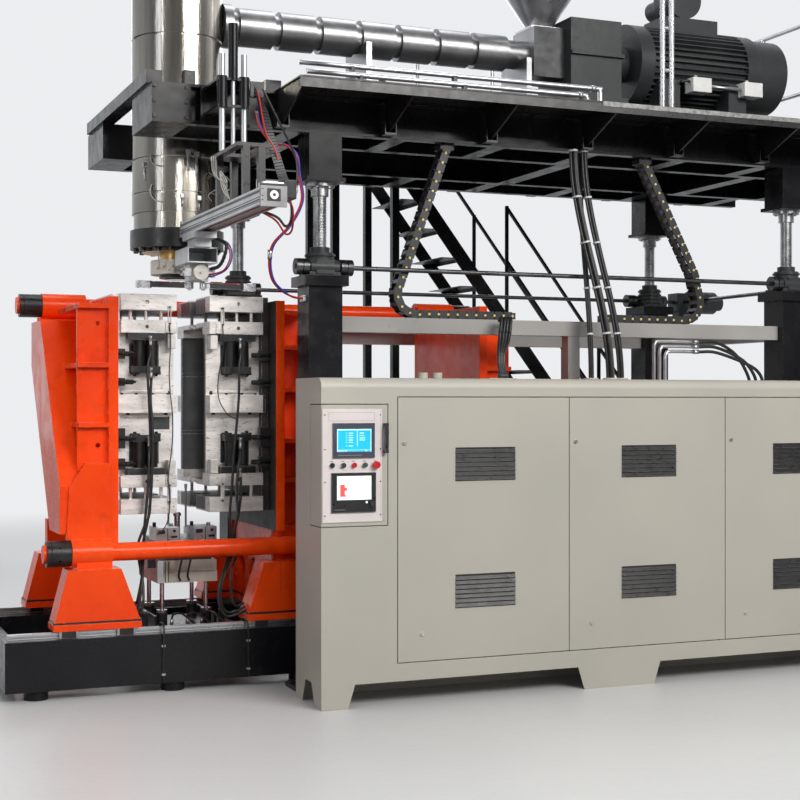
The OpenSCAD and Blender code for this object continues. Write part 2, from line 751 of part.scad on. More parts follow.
// Extruder barrel: bored tube with heater bands, feed block and its two stands
module extruder_barrel() {
    x0 = mould_x + head_d/2;
    feed = 700;
    difference() {
        union() {
            color([0.78, 0.78, 0.8]) rod_x(210, [x0 + 60, feed], 0, screw_z);
            color([0.2, 0.2, 0.22]) rod_x(300, [x0, x0 + 60], 0, screw_z);
            color([0.78, 0.78, 0.8]) for (i = [0:6])
                rod_x(262, [x0 + 110 + i*300, x0 + 360 + i*300], 0, screw_z);
            color([0.25, 0.25, 0.27])
                span([feed - 60, feed + 200], [-170, 170], [screw_z - 180, screw_z + 190]);
            color([0.12, 0.12, 0.14]) for (x = [-700, 560]) {
                span([x, x + 40], [-210, 210], [deck_top, screw_z - 60]);
                span([x - 60, x + 100], [-250, 250], [deck_top, deck_top + 16]);
            }
        }
        rod_x(screw_d + 2*run_fit, [x0 - 1, feed + 201], 0, screw_z);
        rod_z(150, feed + 70, 0, [screw_z, screw_z + 191]);
    }
}

// Plasticising screw: shank, core and flights
module extruder_screw() {
    x0 = mould_x + head_d/2 + 40;
    core = screw_d*0.68;
    color([0.7, 0.7, 0.72]) {
        rod_x(core, [x0, 900], 0, screw_z);
        for (x = [x0 + 60:screw_d:860]) rod_x(screw_d, [x, x + 14], 0, screw_z);
        rod_x(90, [860, 1180], 0, screw_z);
    }
}

// Reduction gearbox: split housing, output boss, feet
module extruder_gearbox() {
    x = [900, 1330];
    color([0.16, 0.17, 0.2]) difference() {
        union() {
            span(x, [-260, 260], [screw_z - 320, screw_z + 260]);
            span([x[0], x[1] + 15], [-285, 285], [screw_z - 14, screw_z + 14]);
            span([x[0] - 30, x[1] + 30], [-310, 310], [deck_top, screw_z - 320]);
            rod_x(180, [x[1], x[1] + 60], 0, screw_z);
        }
        rod_x(90 + 2*run_fit, [x[0] - 2, x[0] + 300], 0, screw_z);
    }
}

// Main motor with cooling ribs, terminal box, feet, coupling guard and forced-air blower
module main_motor() {
    x = [1480, 2560];
    ribs = 40;
    color([0.14, 0.16, 0.2]) {
        rod_x(motor_d - 70, x, 0, screw_z);
        for (i = [0:ribs - 1]) rotate_about_axis(i*360/ribs)
            span([x[0] + 120, x[1] - 120], [-4, 4], [screw_z + motor_d/2 - 45, screw_z + motor_d/2]);
        rod_x(motor_d, [x[0], x[0] + 120], 0, screw_z);
        rod_x(motor_d, [x[1] - 120, x[1]], 0, screw_z);
        rod_x(motor_d - 40, [x[1], x[1] + 260], 0, screw_z);
        rod_x(260, [1390, x[0]], 0, screw_z);
        both_sides() for (at = [x[0] + 160, x[1] - 320])
            span([at, at + 160], [150, 330], [deck_top, screw_z - 150]);
        span([x[0] + 200, x[1] - 200], [motor_d/2 - 60, motor_d/2 + 60], [screw_z - 40, screw_z + 130]);
        span([x[0] + 300, x[1] - 300], [-150, 150], [screw_z + motor_d/2 - 50, screw_z + motor_d/2 + 70]);
        rod_y(300, x[0] + 480, [-150, 60], screw_z + motor_d/2 + 215);
        rod_y(160, x[0] + 480, [60, 300], screw_z + motor_d/2 + 215);
    }
}

module rotate_about_axis(a) {
    translate([0, 0, screw_z]) rotate([a, 0, 0]) translate([0, 0, -screw_z]) children();
}

// Feed hopper on the feed block: throat, cone and drum, open at the top
module hopper() {
    x = 770;
    z = screw_z + 190;
    color([0.75, 0.76, 0.78]) difference() {
        union() {
            span([x - 130, x + 130], [-130, 130], [z, z + 14]);
            translate([x, 0, z + 14]) cylinder(d1 = 180, d2 = 620, h = 330);
            rod_z(620, x, 0, [z + 344, z + 760]);
            rod_z(650, x, 0, [z + 744, z + 760]);
        }
        translate([x, 0, z - 1]) cylinder(d = 150, h = 20);
        translate([x, 0, z + 18]) cylinder(d1 = 150, d2 = 604, h = 330);
        rod_z(604, x, 0, [z + 347.9, z + 761]);
    }
}

// Head shroud: polished sheet jacket in sections with bands at the seams, round the melt body
module head_shroud() {
    bottom = 2986;
    top = 4760;
    seams = [3088, 3223, 3455, 3860, 4270];
    color([0.75, 0.74, 0.7]) difference() {
        union() {
            rod_z(head_d - 24, mould_x, 0, [bottom, top]);
            rod_z(head_d - 36, mould_x, 0, [bottom, seams[0]]);
            for (i = [0:len(seams) - 1])
                rod_z(head_d, mould_x, 0, [seams[i] + 8, i < len(seams) - 1 ? seams[i + 1] - 8 : top]);
            rod_z(head_d + 130, mould_x, 0, [beam_z + beam_h + 80, beam_z + beam_h + 115]);
        }
        rod_z(176, mould_x, 0, [bottom - 1, top + 1]);
        rod_x(screw_d, [mould_x, mould_x + head_d/2 + 1], 0, screw_z);
    }
}

// Bolted head flange, neck and die with its heater band
module head_base() {
    color([0.1, 0.1, 0.1]) difference() {
        union() {
            rod_z(head_flange_d, mould_x, 0, [2862, 2986]);
            rod_z(head_flange_d - 150, mould_x, 0, [2840, 2862]);
            for (a = [0:22.5:337.5]) translate([mould_x, 0, 0]) rotate([0, 0, a])
                rod_z(34, head_flange_d/2 - 36, 0, [2842, 2863]);
            rod_z(230, mould_x, 0, [2785, 2840]);
            rod_z(326, mould_x, 0, [2695, 2785]);
            rod_z(240, mould_x, 0, [2670, 2695]);
        }
        rod_z(176, mould_x, 0, [2669, 2987]);
    }
}

// Core pin: mandrel cone in the die, and its rod up to the head cylinder
module core_pin() {
    color([0.8, 0.8, 0.82]) {
        translate([mould_x, 0, 2662]) cylinder(d1 = 160, d2 = 120, h = 120);
        rod_z(120, mould_x, 0, [2780, 2960]);
        rod_z(60, mould_x, 0, [2959, 4900]);
    }
}

// Head cylinder on four spacer posts, with the adjusting screw cap
module head_cylinder() {
    z = 4760;
    color([0.2, 0.2, 0.22]) difference() {
        union() {
            for (a = [45:90:315])
                translate([mould_x, 0, 0]) rotate([0, 0, a]) rod_z(50, 210, 0, [z, z + 110]);
            rod_z(520, mould_x, 0, [z + 110, z + 150]);
            rod_z(360, mould_x, 0, [z + 150, z + 500]);
            rod_z(400, mould_x, 0, [z + 500, z + 540]);
            rod_z(120, mould_x, 0, [z + 540, z + 640]);
        }
        rod_z(60 + 2*run_fit, mould_x, 0, [z + 109, z + 300]);
    }
}

// Cabinet outline in y and z: straight back, rounded front top edge
module cabinet_profile(inset) {
    r = 60 - inset;
    translate([cab_front + inset, 0]) difference() {
        square([cab_depth - 2*inset, cab_h - inset]);
        translate([-1, cab_h - inset - r]) difference() {
            square([r + 1, r + 1]);
            translate([r + 1, 0]) circle(r = r);
        }
    }
}

module cabinet_bar(x, inset) {
    translate([x[0], 0, 0]) rotate([90, 0, 90]) linear_extrude(x[1] - x[0]) cabinet_profile(inset);
}

// Opening for the door that wraps the front left corner
module control_opening(grow) {
    span([cab_left - 20, cab_left + control_w + grow], [cab_front - 20, cab_front + control_wrap + grow],
        [control_z[0] - grow, control_z[1] + grow]);
}

// Cabinet housing: folded sheet shell with bays, partitions, plinth feet and door openings
module cabinet() {
    wall = sheet;
    floor_z = 190;
    part_x = [doors_left - 40, doors_left + door_pitch*1.5, doors_left + door_pitch*3 - 20];
    color([0.72, 0.7, 0.65]) difference() {
        union() {
            difference() {
                cabinet_bar([cab_left, cab_right], 0);
                difference() {
                    cabinet_bar([cab_left + wall, cab_right - wall], wall);
                    span([cab_left, cab_right], [cab_front, cab_back], [floor_z - 4, floor_z]);
                    span([part_x[0], part_x[0] + 4], [cab_front, cab_back], [floor_z, cab_h]);
                }
            }
            for (x = [800, 900])
                rod_z(60, cab_left + x, cab_front + 330, [cab_h - wall, cab_h + 40]);
        }
        control_opening(door_gap);
        for (i = [0:2])
            span([doors_left + i*door_pitch - door_gap, doors_left + i*door_pitch + door_w + door_gap],
                [cab_front - 1, cab_front + wall + 1], [door_z[0] - door_gap, door_z[1] + door_gap]);
        span([cab_left + wall, cab_right - wall], [cab_front + wall, cab_back - wall], [-1, floor_z - 4]);
        for (x = [[0, cab_len/2 - 90], [cab_len/2 + 90, cab_len]])
            slab_y([[cab_left + x[0] + 170, -1], [cab_left + x[1] - 170, -1], [cab_left + x[1] - 215, 142],
                [cab_left + x[0] + 215, 142]], [cab_front - 1, cab_front + wall + 1]);
        slab_x([[cab_front + 120, -1], [cab_back - 120, -1], [cab_back - 180, 142], [cab_front + 180, 142]],
            [cab_left - 1, cab_right + 1]);
    }
    color([0.3, 0.3, 0.32]) {
        for (i = [0:2]) translate([doors_left + i*door_pitch + door_w - hinge_in, cab_front, 0])
            pivot_pair([-12, 12], [sheet, 28], door_z);
        translate([cab_left, cab_front + control_wrap - hinge_in, 0])
            pivot_pair([sheet, 28], [-12, 12], control_z);
    }
}

// Pivot blocks above and below a door opening, each with its pin into the door
module pivot_pair(x, y, z) {
    px = x[0] < 0 ? 0 : hinge_back;
    py = y[0] < 0 ? 0 : hinge_back;
    for (e = [[z[1] + door_gap, z[1] + door_gap + 26, z[1] - 22],
            [z[0] - door_gap - 26, z[0] - door_gap, z[0] + 22]]) {
        span(x, y, [e[0], e[1]]);
        rod_z(pivot_d, px, py, [min(e[0], e[2]), max(e[1], e[2])]);
    }
}

// Switchgear on its mounting plate: rows of breakers, contactors and drives
module control_gear() {
    x0 = doors_left + 30;
    y = cab_back - sheet;
    row = (door_z[1] - 262)/4;
    color([0.82, 0.82, 0.8]) span([x0, x0 + 1500], [y - 3, y], [230, door_z[1] - 12]);
    color([0.25, 0.26, 0.28]) for (r = [0:3]) {
        z = 330 + r*row;
        tall = r == 3 ? 230 : 130;
        for (i = [0:10])
            span([x0 + 60 + i*128, x0 + (r == 3 ? 160 : 144) + i*128], [y - 95, y - 3], [z, z + tall]);
        span([x0 + 40, x0 + 1460], [y - 45, y - 3], [z + tall + 30, z + tall + 80]);
    }
}

// Oil tank with lid, filler, motor and pump of the hydraulic set
module oil_tank() {
    x = [doors_left + door_pitch*1.5 + 90, cab_right - 70];
    y = [cab_front + 60, cab_back - 40];
    top = 900;
    color([0.6, 0.6, 0.58]) {
        span(x, y, [190, top]);
        span([x[0] - 12, x[1] + 12], [y[0] - 12, y[1] + 12], [top, top + 14]);
        rod_z(90, x[0] + 150, y[0] + 90, [top + 14, top + 90]);
        for (at = [x[0] + 420, x[0] + 1050]) {
            rod_z(230, at, y[0] + 190, [top + 14, top + 60]);
            rod_z(200, at, y[0] + 190, [top + 60, top + 400]);
            rod_z(214, at, y[0] + 190, [top + 400, top + 470]);
            span([at + 170, at + 330], [y[0] + 90, y[0] + 290], [top + 14, top + 180]);
        }
    }
}

// Door leaf panel with folded edge, drawn closed
module leaf(x, z) {
    fold = [cab_front + sheet, cab_front + 24];
    span(x, [cab_front, cab_front + sheet], z);
    for (at = [x[0] + 12, x[1] - 12 - sheet]) span([at, at + sheet], fold, [z[0] + 12, z[1] - 12]);
    difference() {
        for (at = [z[0] + 12, z[1] - 12 - sheet]) span([x[0] + 12, x[1] - 12], fold, [at, at + sheet]);
        rod_z(pivot_d + 2*run_fit, x[1] - hinge_in, cab_front + hinge_back, z);
    }
}

// Cabinet door with two vent grilles and two locks
module cabinet_door(i) {
    x0 = doors_left + i*door_pitch;
    mid = x0 + door_w/2;
    grille_z = [for (low = [door_z[0] + 311, door_z[1] - 514], k = [0:6]) low + k*28];
    color([0.72, 0.7, 0.65]) difference() {
        leaf([x0, x0 + door_w], door_z);
        for (z = grille_z)
            span([mid - 200, mid + 200], [cab_front - 1, cab_front + sheet + 1], [z + 8, z + 20]);
    }
    color([0.1, 0.1, 0.1]) {
        for (z = grille_z)
            slab_x([[cab_front - 10, z + 6], [cab_front - 7, z + 4], [cab_front + 0.5, z + 21],
                [cab_front, z + 25]], [mid - 205, mid + 205]);
        for (lock = [[42, door_z[1] - 280], [160, door_z[0] + 165]])
            rod_y(26, x0 + lock[0], [cab_front - 6, cab_front], lock[1]);
    }
}

module door_1() {
    cabinet_door(0);
}

module door_2() {
    cabinet_door(1);
}

module door_3() {
    cabinet_door(2);
}

// Control door: leaf that wraps the corner, with its operator panel, two units and a handle
module control_door() {
    x = [cab_left, cab_left + control_w];
    unit_x = [cab_left + 70, cab_left + 335];
    holes = [for (i = [0:4]) cab_left + 66 + i*69];
    fold_end = cab_front + control_wrap - 10;
    hinge_y = cab_front + control_wrap - hinge_in;
    box_z = [panel_z[0] + 40, panel_z[1] - 40];
    color([0.72, 0.7, 0.65]) difference() {
        union() {
            span(x, [cab_front, cab_front + sheet], control_z);
            span([x[0], x[0] + sheet], [cab_front, cab_front + control_wrap], control_z);
            for (z = [control_z[0] + 12, control_z[1] - 12 - sheet]) difference() {
                span([x[0] + sheet, x[0] + 28], [cab_front + sheet, fold_end], [z, z + sheet]);
                rod_z(pivot_d + 2*run_fit, x[0] + hinge_back, hinge_y, [z - 1, z + sheet + 1]);
            }
            span([x[0] + 5, x[1] - 37], [cab_front - 5, cab_front], panel_z);
            difference() {
                span([x[0] + 40, x[1] - 45], [cab_front, cab_front + 70], box_z);
                span([x[0] + 44, x[1] - 49], [cab_front + sheet, cab_front + 71],
                    [box_z[0] + 4, box_z[1] - 4]);
            }
        }
        for (hx = holes) rod_y(stem_d + 2*run_fit, hx, [cab_front - 6, cab_front + 40], button_z);
        rod_y(knob_d + 2*run_fit, cab_left + 310, [cab_front - 30, cab_front + 40], knob_z);
    }
    color([0.25, 0.27, 0.32]) difference() {
        union() {
            span(unit_x, [cab_front - 17, cab_front - 5], unit_high);
            span([unit_x[0] - 9, unit_x[1] + 7], [cab_front - 17, cab_front - 5], unit_low);
        }
        for (z = [[unit_high[0] + 36, unit_high[1] - 33], [unit_low[0] + 74, unit_low[1] - 17]])
            span([unit_x[0] + 23, unit_x[1] - 22], [cab_front - 18, cab_front - 13], z);
        rod_y(knob_d + 2*run_fit, cab_left + 310, [cab_front - 30, cab_front], knob_z);
    }
    color([0.08, 0.08, 0.08]) {
        span([x[1] - 30, x[1] - 6], [cab_front - 38, cab_front - 26], [unit_high[0] + 25, unit_high[1]]);
        for (z = [unit_high[0] + 25, unit_high[1] - 18])
            span([x[1] - 26, x[1] - 10], [cab_front - 30, cab_front], [z, z + 18]);
    }
}

// Push button: cap and stem through the panel
module button(i, cap_d, cap_h, tint) {
    x = cab_left + 66 + i*69;
    color(tint) {
        rod_y(cap_d, x, [cab_front - 13 - cap_h, cab_front - 13], button_z);
        rod_y(stem_d, x, [cab_front - 14, cab_front + 12], button_z);
    }
}

module start_button() {
    button(1, 30, 9, [0.2, 0.22, 0.22]);
}

module stop_button() {
    button(2, 30, 9, [0.7, 0.08, 0.08]);
}

module reset_button() {
    button(3, 30, 9, [0.12, 0.22, 0.18]);
}

module emergency_stop() {
    button(4, 44, 22, [0.8, 0.06, 0.06]);
}

module mode_selector() {
    x = cab_left + 66;
    color([0.12, 0.12, 0.12]) {
        rod_y(30, x, [cab_front - 15, cab_front - 7], button_z);
        rod_y(stem_d, x, [cab_front - 8, cab_front + 12], button_z);
        span([x - 4, x + 4], [cab_front - 27, cab_front - 14], [button_z - 14, button_z + 14]);
    }
}

module adjust_knob() {
    color([0.1, 0.1, 0.1]) {
        rod_y(22, cab_left + 310, [cab_front - 36, cab_front - 19], knob_z);
        rod_y(knob_d, cab_left + 310, [cab_front - 20, cab_front + 6], knob_z);
    }
}

// Bracket on the fork tip with the two bearing tubes and the lift cylinder of the take-out
module takeout_bracket() {
    y = -1375;
    color([0.12, 0.12, 0.14]) {
        difference() {
            union() {
                span([mould_x - 110, mould_x + 110], [-beam_out - 16, -beam_out],
                    [beam_z + 10, beam_z + beam_h - 10]);
                for (x = [-70, 65]) rod_z(64, mould_x + x, y, [3575, 3765]);
                for (z = [3580, 3740])
                    span([mould_x - 100, mould_x + 97], [y - 20, -beam_out - 16], [z, z + 16]);
                rod_z(58, mould_x - 2, y, [3740, 4080]);
            }
            for (x = [-70, 65]) rod_z(35 + 2*run_fit, mould_x + x, y, [3570, 3770]);
            rod_z(25 + 2*run_fit, mould_x - 2, y, [3570, 3995]);
        }
    }
}

// Take-out lift frame: guide rods, head plate, legs and the linear axis they carry
module takeout_frame() {
    y = [-1835, -1245];
    x = [mould_x - 110, mould_x + 90];
    plate_z = [3280, 3300];
    rods_y = -1375;
    color([0.75, 0.76, 0.78]) {
        for (dx = [-70, 65]) rod_z(35, mould_x + dx, rods_y, [plate_z[1], 3900]);
        rod_z(25, mould_x - 2, rods_y, [plate_z[1], 3780]);
        difference() {
            span(x, y, plate_z);
            span([x[0] + 45, x[1] - 45], [y[0] + 45, rods_y - 60], [plate_z[0] - 1, plate_z[1] + 1]);
        }
        for (px = [axis_x[0], axis_x[1] - 40], py = [y[0], y[1] - 40])
            span([px, px + 40], [py, py + 40], [axis_z[1], plate_z[0]]);
        difference() {
            span(axis_x, [-2180, -405], axis_z);
            for (px = [axis_x[0] - 1, axis_x[1] - 11], pz = [axis_z[0] + 20, axis_z[1] - 32])
                span([px, px + 12], [-2181, -404], [pz, pz + 12]);
            span([axis_x[0] + 35, axis_x[1] - 35], [-2160, -425], [axis_z[0] - 1, axis_z[0] + 18]);
        }
        span([axis_x[0] - 10, axis_x[1] + 10], [-2200, -2180], [axis_z[0] - 15, axis_z[1] + 15]);
        span([axis_x[0] - 5, axis_x[1] + 5], [-405, -393], [axis_z[0] - 5, axis_z[1] + 5]);
    }
}

// Carriage under the linear axis with the rectangular arm and the gripper body
module takeout_carriage() {
    tube_x = [mould_x - 98, mould_x + 98];
    color([0.7, 0.7, 0.7]) {
        span([axis_x[0] - 8, axis_x[1] + 8], [-780, -480], [axis_z[0] - 38, axis_z[0] - fit]);
        span([mould_x - 60, mould_x + 50], [-700, -520], [tube_z[1], axis_z[0] - 38]);
        difference() {
            span(tube_x, [-675, -345], tube_z);
            span([tube_x[0] + 8, tube_x[1] - 8], [-676, -360], [tube_z[0] + 8, tube_z[1] - 8]);
        }
        span([mould_x - 62, mould_x + 62], [-575, -455], [2612, tube_z[0]]);
        rod_y(98, mould_x, [-640, -575], 2665);
        for (x = [-45, 45]) rod_z(24, mould_x + x, -515, [2556, 2613]);
        span([mould_x + 62, mould_x + 100], [-560, -520], [2640, 2690]);
    }
}

// Gripper jaw, drawn open: hub, arm and padded tip
module jaw(side) {
    hub_y = -515;
    color([0.25, 0.25, 0.26]) difference() {
        union() {
            rod_z(50, mould_x + side*45, hub_y, [2566, 2606]);
            span(side < 0 ? [mould_x - 380, mould_x - 45] : [mould_x + 45, mould_x + 380],
                [hub_y - 17, hub_y + 17], [2570, 2602]);
            span(side < 0 ? [mould_x - 392, mould_x - 300] : [mould_x + 300, mould_x + 392],
                [hub_y - 26, hub_y + 26], [2562, 2608]);
        }
        rod_z(24 + 2*run_fit, mould_x + side*45, hub_y, [2560, 2613]);
    }
}

module jaw_left() {
    jaw(-1);
}

module jaw_right() {
    jaw(1);
}

// Blow station stand: plate on the cross beams, lift cylinders and guides
module blow_stand() {
    z = base_top - 40;
    color([0.06, 0.06, 0.07]) difference() {
        union() {
            span([mould_x - 330, mould_x + 330], [-240, 240], [z, z + 25]);
            for (x = [-150, 150], y = [-190, 190]) rod_z(72, mould_x + x, y, [z - 180, z + 125]);
            for (x = [-210, 195]) span([mould_x + x, mould_x + x + 15], [-240, 240], [z + 25, z + 90]);
        }
        for (x = [-150, 150], y = [-190, 190])
            rod_z(30 + 2*run_fit, mould_x + x, y, [z - 170, z + 126]);
    }
}

// Blow station table: guide rods, valve block, head frame and blow pin
module blow_table() {
    z0 = 640;
    color([0.7, 0.7, 0.7]) {
        for (x = [-150, 150], y = [-190, 190]) rod_z(30, mould_x + x, y, [base_top - 40, z0]);
        span([mould_x - 200, mould_x + 205], [-275, 275], [z0, z0 + 68]);
        span([mould_x - 190, mould_x + 195], [-262, 262], [z0 + 68, z0 + 146]);
        rod_z(40, mould_x, 0, [z0 + 146, 1085]);
        rod_z(54, mould_x, 0, [1060, 1080]);
    }
    color([0.08, 0.08, 0.08]) difference() {
        span([mould_x - 170, mould_x + 170], [-262, 262], [z0 + 146, 915]);
        span([mould_x - 140, mould_x + 140], [-263, 263], [z0 + 165, 890]);
        rod_z(40, mould_x, 0, [z0, 916]);
    }
}

// Spreader: sliding block on the table with its upright stretching pin
module spreader(side) {
    x = side < 0 ? [mould_x - 205, mould_x - 50] : [mould_x + 50, mould_x + 205];
    color([0.75, 0.75, 0.73]) {
        span(x, [-262, -60], [915 + fit, 1003]);
        span(side < 0 ? [mould_x - 90, mould_x - 50] : [mould_x + 50, mould_x + 90], [-61, 20], [940, 985]);
        rod_z(14, mould_x + side*60, 0, [984, 1248]);
        rod_z(20, mould_x + side*60, 0, [1247, 1276]);
    }
}

module spreader_left() {
    spreader(-1);
}

module spreader_right() {
    spreader(1);
}

// Access stair behind the platform: stringers, treads, landing, posts and handrails
module access_stair() {
    y0 = 1510;
    y1 = y0 + stair_w + 30;
    top = deck_top;
    x_top = 330;
    x_foot = base_foot_x();
    slope = top/(x_foot - x_top);
    rise = top/(tread_count + 1);
    w = 90;
    color([0.1, 0.1, 0.12]) for (y = [y0, y1 - 15]) {
        slab_y([[x_foot, 0], [x_foot - w*1.4, 0], [x_top - 60, top - w*1.1], [x_top - 60, top],
            [x_top, top]], [y, y + 15]);
        for (x = [x_top - 660, x_top - 130])
            span([x, x + 60], [y == y0 ? y : y - 45, y == y0 ? y + 60 : y + 15], [0, top - 60]);
    }
    color([0.2, 0.2, 0.22]) {
        for (i = [1:tread_count]) {
            z = top - i*rise;
            x = x_top + i*rise/slope;
            span([x - 230, x - 6], [y0 + 14, y1 - 14], [z - 30, z - 24]);
            span([x - 12, x - 6], [y0 + 14, y1 - 14], [z - 50, z - 24]);
        }
        span([x_top - 660, x_top - 60], [y0, y1], [top - 60, top - 54]);
        span([x_top - 660, x_top - 60], [y0, y1], [top - 8, top]);
        span([x_top - 660, x_top - 640], [y0, y1], [top - 60, top]);
    }
    color([0.08, 0.08, 0.1]) for (y = [y0 + 17, y1 - 17]) {
        for (i = [0, 5, 10, 14]) {
            x = x_top + 30 + i*rise/slope;
            z = top - (x - x_top)*slope;
            if (y > y0 + 20) rod_z(34, x, y, [z - 30, z + 950]);
            else if (i > 0) rod_z(34, x, y, [z - 30, z + 950]);
        }
    }
    color([0.08, 0.08, 0.1]) for (s = [0, 1]) {
        y = s == 0 ? y0 + 17 : y1 - 17;
        i0 = s == 0 ? 5 : 0;
        xa = x_top + 30 + i0*rise/slope;
        xb = x_top + 30 + 14*rise/slope;
        for (h = [480, 940]) {
            za = top - (xa - x_top)*slope + h;
            zb = top - (xb - x_top)*slope + h;
            slab_y([[xa, za - 20], [xb, zb - 20], [xb, zb + 14], [xa, za + 14]], [y - 15, y + 15]);
        }
    }
}

function base_foot_x() = -base_left;

// Unit vector square to a path at one of its points
function path_side(points, i) = let (
        a = points[max(0, i - 1)],
        b = points[min(len(points) - 1, i + 1)],
        t = (b - a)/norm(b - a))
    [-t[1], t[0]];

// Energy chain along points in x and z: a ribbon with a wider side plate for each link
module chain_path(points) {
    n = len(points);
    core = 17;
    tall = 27;
    slab_y(concat([for (i = [0:n - 1]) points[i] + core*path_side(points, i)],
        [for (i = [n - 1:-1:0]) points[i] - core*path_side(points, i)]), [-col_y - 45, -col_y + 45]);
    for (i = [0:n - 2]) {
        a = points[i];
        b = points[i + 1];
        links = max(1, round(norm(b - a)/66));
        pitch = norm(b - a)/links;
        angle = atan2(b[1] - a[1], b[0] - a[0]);
        for (k = [0:links - 1])
            translate([a[0], -col_y, a[1]]) rotate([0, -angle, 0])
                translate([k*pitch + 6, -52, -tall]) cube([pitch - 12, 104, 2*tall]);
    }
}

// Two energy chains that hang from the platform down to the front tie rail
module energy_chains() {
    low = tie_rail[1] + 27 + fit;
    high = beam_z - 30;
    turn = 128;
    bend = function (cx, a0, a1)
        [for (a = [a0:(a1 - a0)/5:a1]) [cx + turn*cos(a), low + turn + turn*sin(a)]];
    color([0.05, 0.05, 0.06]) {
        chain_path(concat([[-428, high], [-737, 2663]], bend(-650, 170, 270), [[20, low]]));
        chain_path(concat([[1092, high], [1500, 2743]], bend(1418, 12, -90), [[818, low]]));
        for (x = [-428, 1092])
            span([x - 50, x + 50], [-col_y - 50, -col_y + 50], [beam_z - 40, beam_z - fit]);
    }
}

// Ring of points round a route point, in the plane across the route
function ring_at(route, i, r, sides) = let (
        a = route[max(0, i - 1)],
        b = route[min(len(route) - 1, i + 1)],
        t = (b - a)/norm(b - a),
        u = cross([0, 1, 0], t)/norm(cross([0, 1, 0], t)),
        v = cross(t, u))
    [for (k = [0:sides - 1]) route[i] + r*cos(360*k/sides)*u + r*sin(360*k/sides)*v];

module cable(route, d) {
    sides = 8;
    n = len(route);
    rings = [for (i = [0:n - 1]) each ring_at(route, i, d/2, sides)];
    polyhedron(rings, concat(
        [[for (k = [0:sides - 1]) k]],
        [[for (k = [0:sides - 1]) (n - 1)*sides + sides - 1 - k]],
        [for (i = [0:n - 2], k = [0:sides - 1])
            [i*sides + k, (i + 1)*sides + k, (i + 1)*sides + (k + 1)%sides, i*sides + (k + 1)%sides]]));
}

// Points of a smooth fall between two ends, with a short straight at each end
function fall(a, b, n, straight = 20) = concat([a], [for (i = [0:n])
    let (t = i/n, s = t*t*(3 - 2*t), rise = a[2] - b[2] - 2*straight)
    [a[0] + (b[0] - a[0])*s, a[1] + (b[1] - a[1])*s, a[2] - straight - rise*t]], [b]);

// Cable looms from the platform beam to the cabinet top
module cable_looms() {
    top = beam_z - fit;
    low = cab_h + fit;
    color([0.06, 0.06, 0.06]) {
        cable(fall([470, -1060, top], [660, -1230, low], 14), 44);
        cable(fall([545, -1060, top], [725, -1240, low], 14), 34);
        cable(fall([545, -1010, top], [560, -1150, low], 14), 26);
    }
}

clamp_base();
guide_rails();
columns();
column_rails();
jack_gearboxes();
cabinet();
control_gear();
oil_tank();
access_stair();
blow_stand();
energy_chains();
cable_looms();
lift_shaft_front();
lift_shaft_rear();
lift_shaft_cross();
left_platen();
tie_bars();
tie_nuts();
yoke();
clamp_cylinder();
left_mould();
left_rams();
right_platen();
clamp_rod();
right_mould();
right_rams();
ring_left_upper();
ring_left_lower();
ring_right_upper();
ring_right_lower();
takeout_bracket();
takeout_frame();
takeout_carriage();
jaw_left();
jaw_right();
blow_table();
spreader_left();
spreader_right();
platform_beams();
platform_deck();
jack_screws();
extruder_barrel();
extruder_gearbox();
main_motor();
hopper();
extruder_screw();
head_shroud();
head_base();
head_cylinder();
core_pin();
control_door();
door_1();
door_2();
door_3();
start_button();
stop_button();
mode_selector();
reset_button();
emergency_stop();
adjust_knob();
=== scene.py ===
# %% [markdown]
# # A blow moulding machine for large drums
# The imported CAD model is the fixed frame, and every piece below is placed in its metres. Each step
# first says what the real thing is, then how it could be made here and why this way was chosen.

# %% Load the frame
import json
import math

import bmesh
import bpy
from mathutils import Matrix, Vector


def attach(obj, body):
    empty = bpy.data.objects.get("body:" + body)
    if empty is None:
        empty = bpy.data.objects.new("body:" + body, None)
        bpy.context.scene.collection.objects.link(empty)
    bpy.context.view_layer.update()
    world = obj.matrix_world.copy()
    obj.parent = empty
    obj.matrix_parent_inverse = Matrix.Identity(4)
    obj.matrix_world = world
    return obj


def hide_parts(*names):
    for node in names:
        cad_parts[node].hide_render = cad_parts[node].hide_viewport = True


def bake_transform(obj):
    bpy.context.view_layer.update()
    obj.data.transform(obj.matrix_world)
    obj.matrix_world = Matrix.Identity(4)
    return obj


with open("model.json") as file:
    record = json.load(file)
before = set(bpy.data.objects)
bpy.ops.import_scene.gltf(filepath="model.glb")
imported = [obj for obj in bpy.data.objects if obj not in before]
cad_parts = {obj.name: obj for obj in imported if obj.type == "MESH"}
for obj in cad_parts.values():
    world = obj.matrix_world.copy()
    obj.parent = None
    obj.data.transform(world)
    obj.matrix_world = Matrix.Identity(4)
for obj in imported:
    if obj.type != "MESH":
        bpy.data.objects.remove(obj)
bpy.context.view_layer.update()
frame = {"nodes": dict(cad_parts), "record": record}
scene = bpy.context.scene

# %% [markdown]
# ## The camera
# The photograph was taken at eye height from well in front of the operator side, turned towards the
# far end of the machine. A camera can be set by eye, but the long edges of the cabinet, base and
# platform give its place and lens exactly, so both stand here as numbers.

# %% Camera
def shown(name, data):
    """An object with the given data, linked into the scene."""
    obj = bpy.data.objects.new(name, data)
    scene.collection.objects.link(obj)
    return obj


EYE = Vector((-4.45, -9.875, 1.84))
TURN = math.radians(22.5)
PHOTO_WIDTH = 800
FOCAL = 1480 / PHOTO_WIDTH
SENSOR = 36

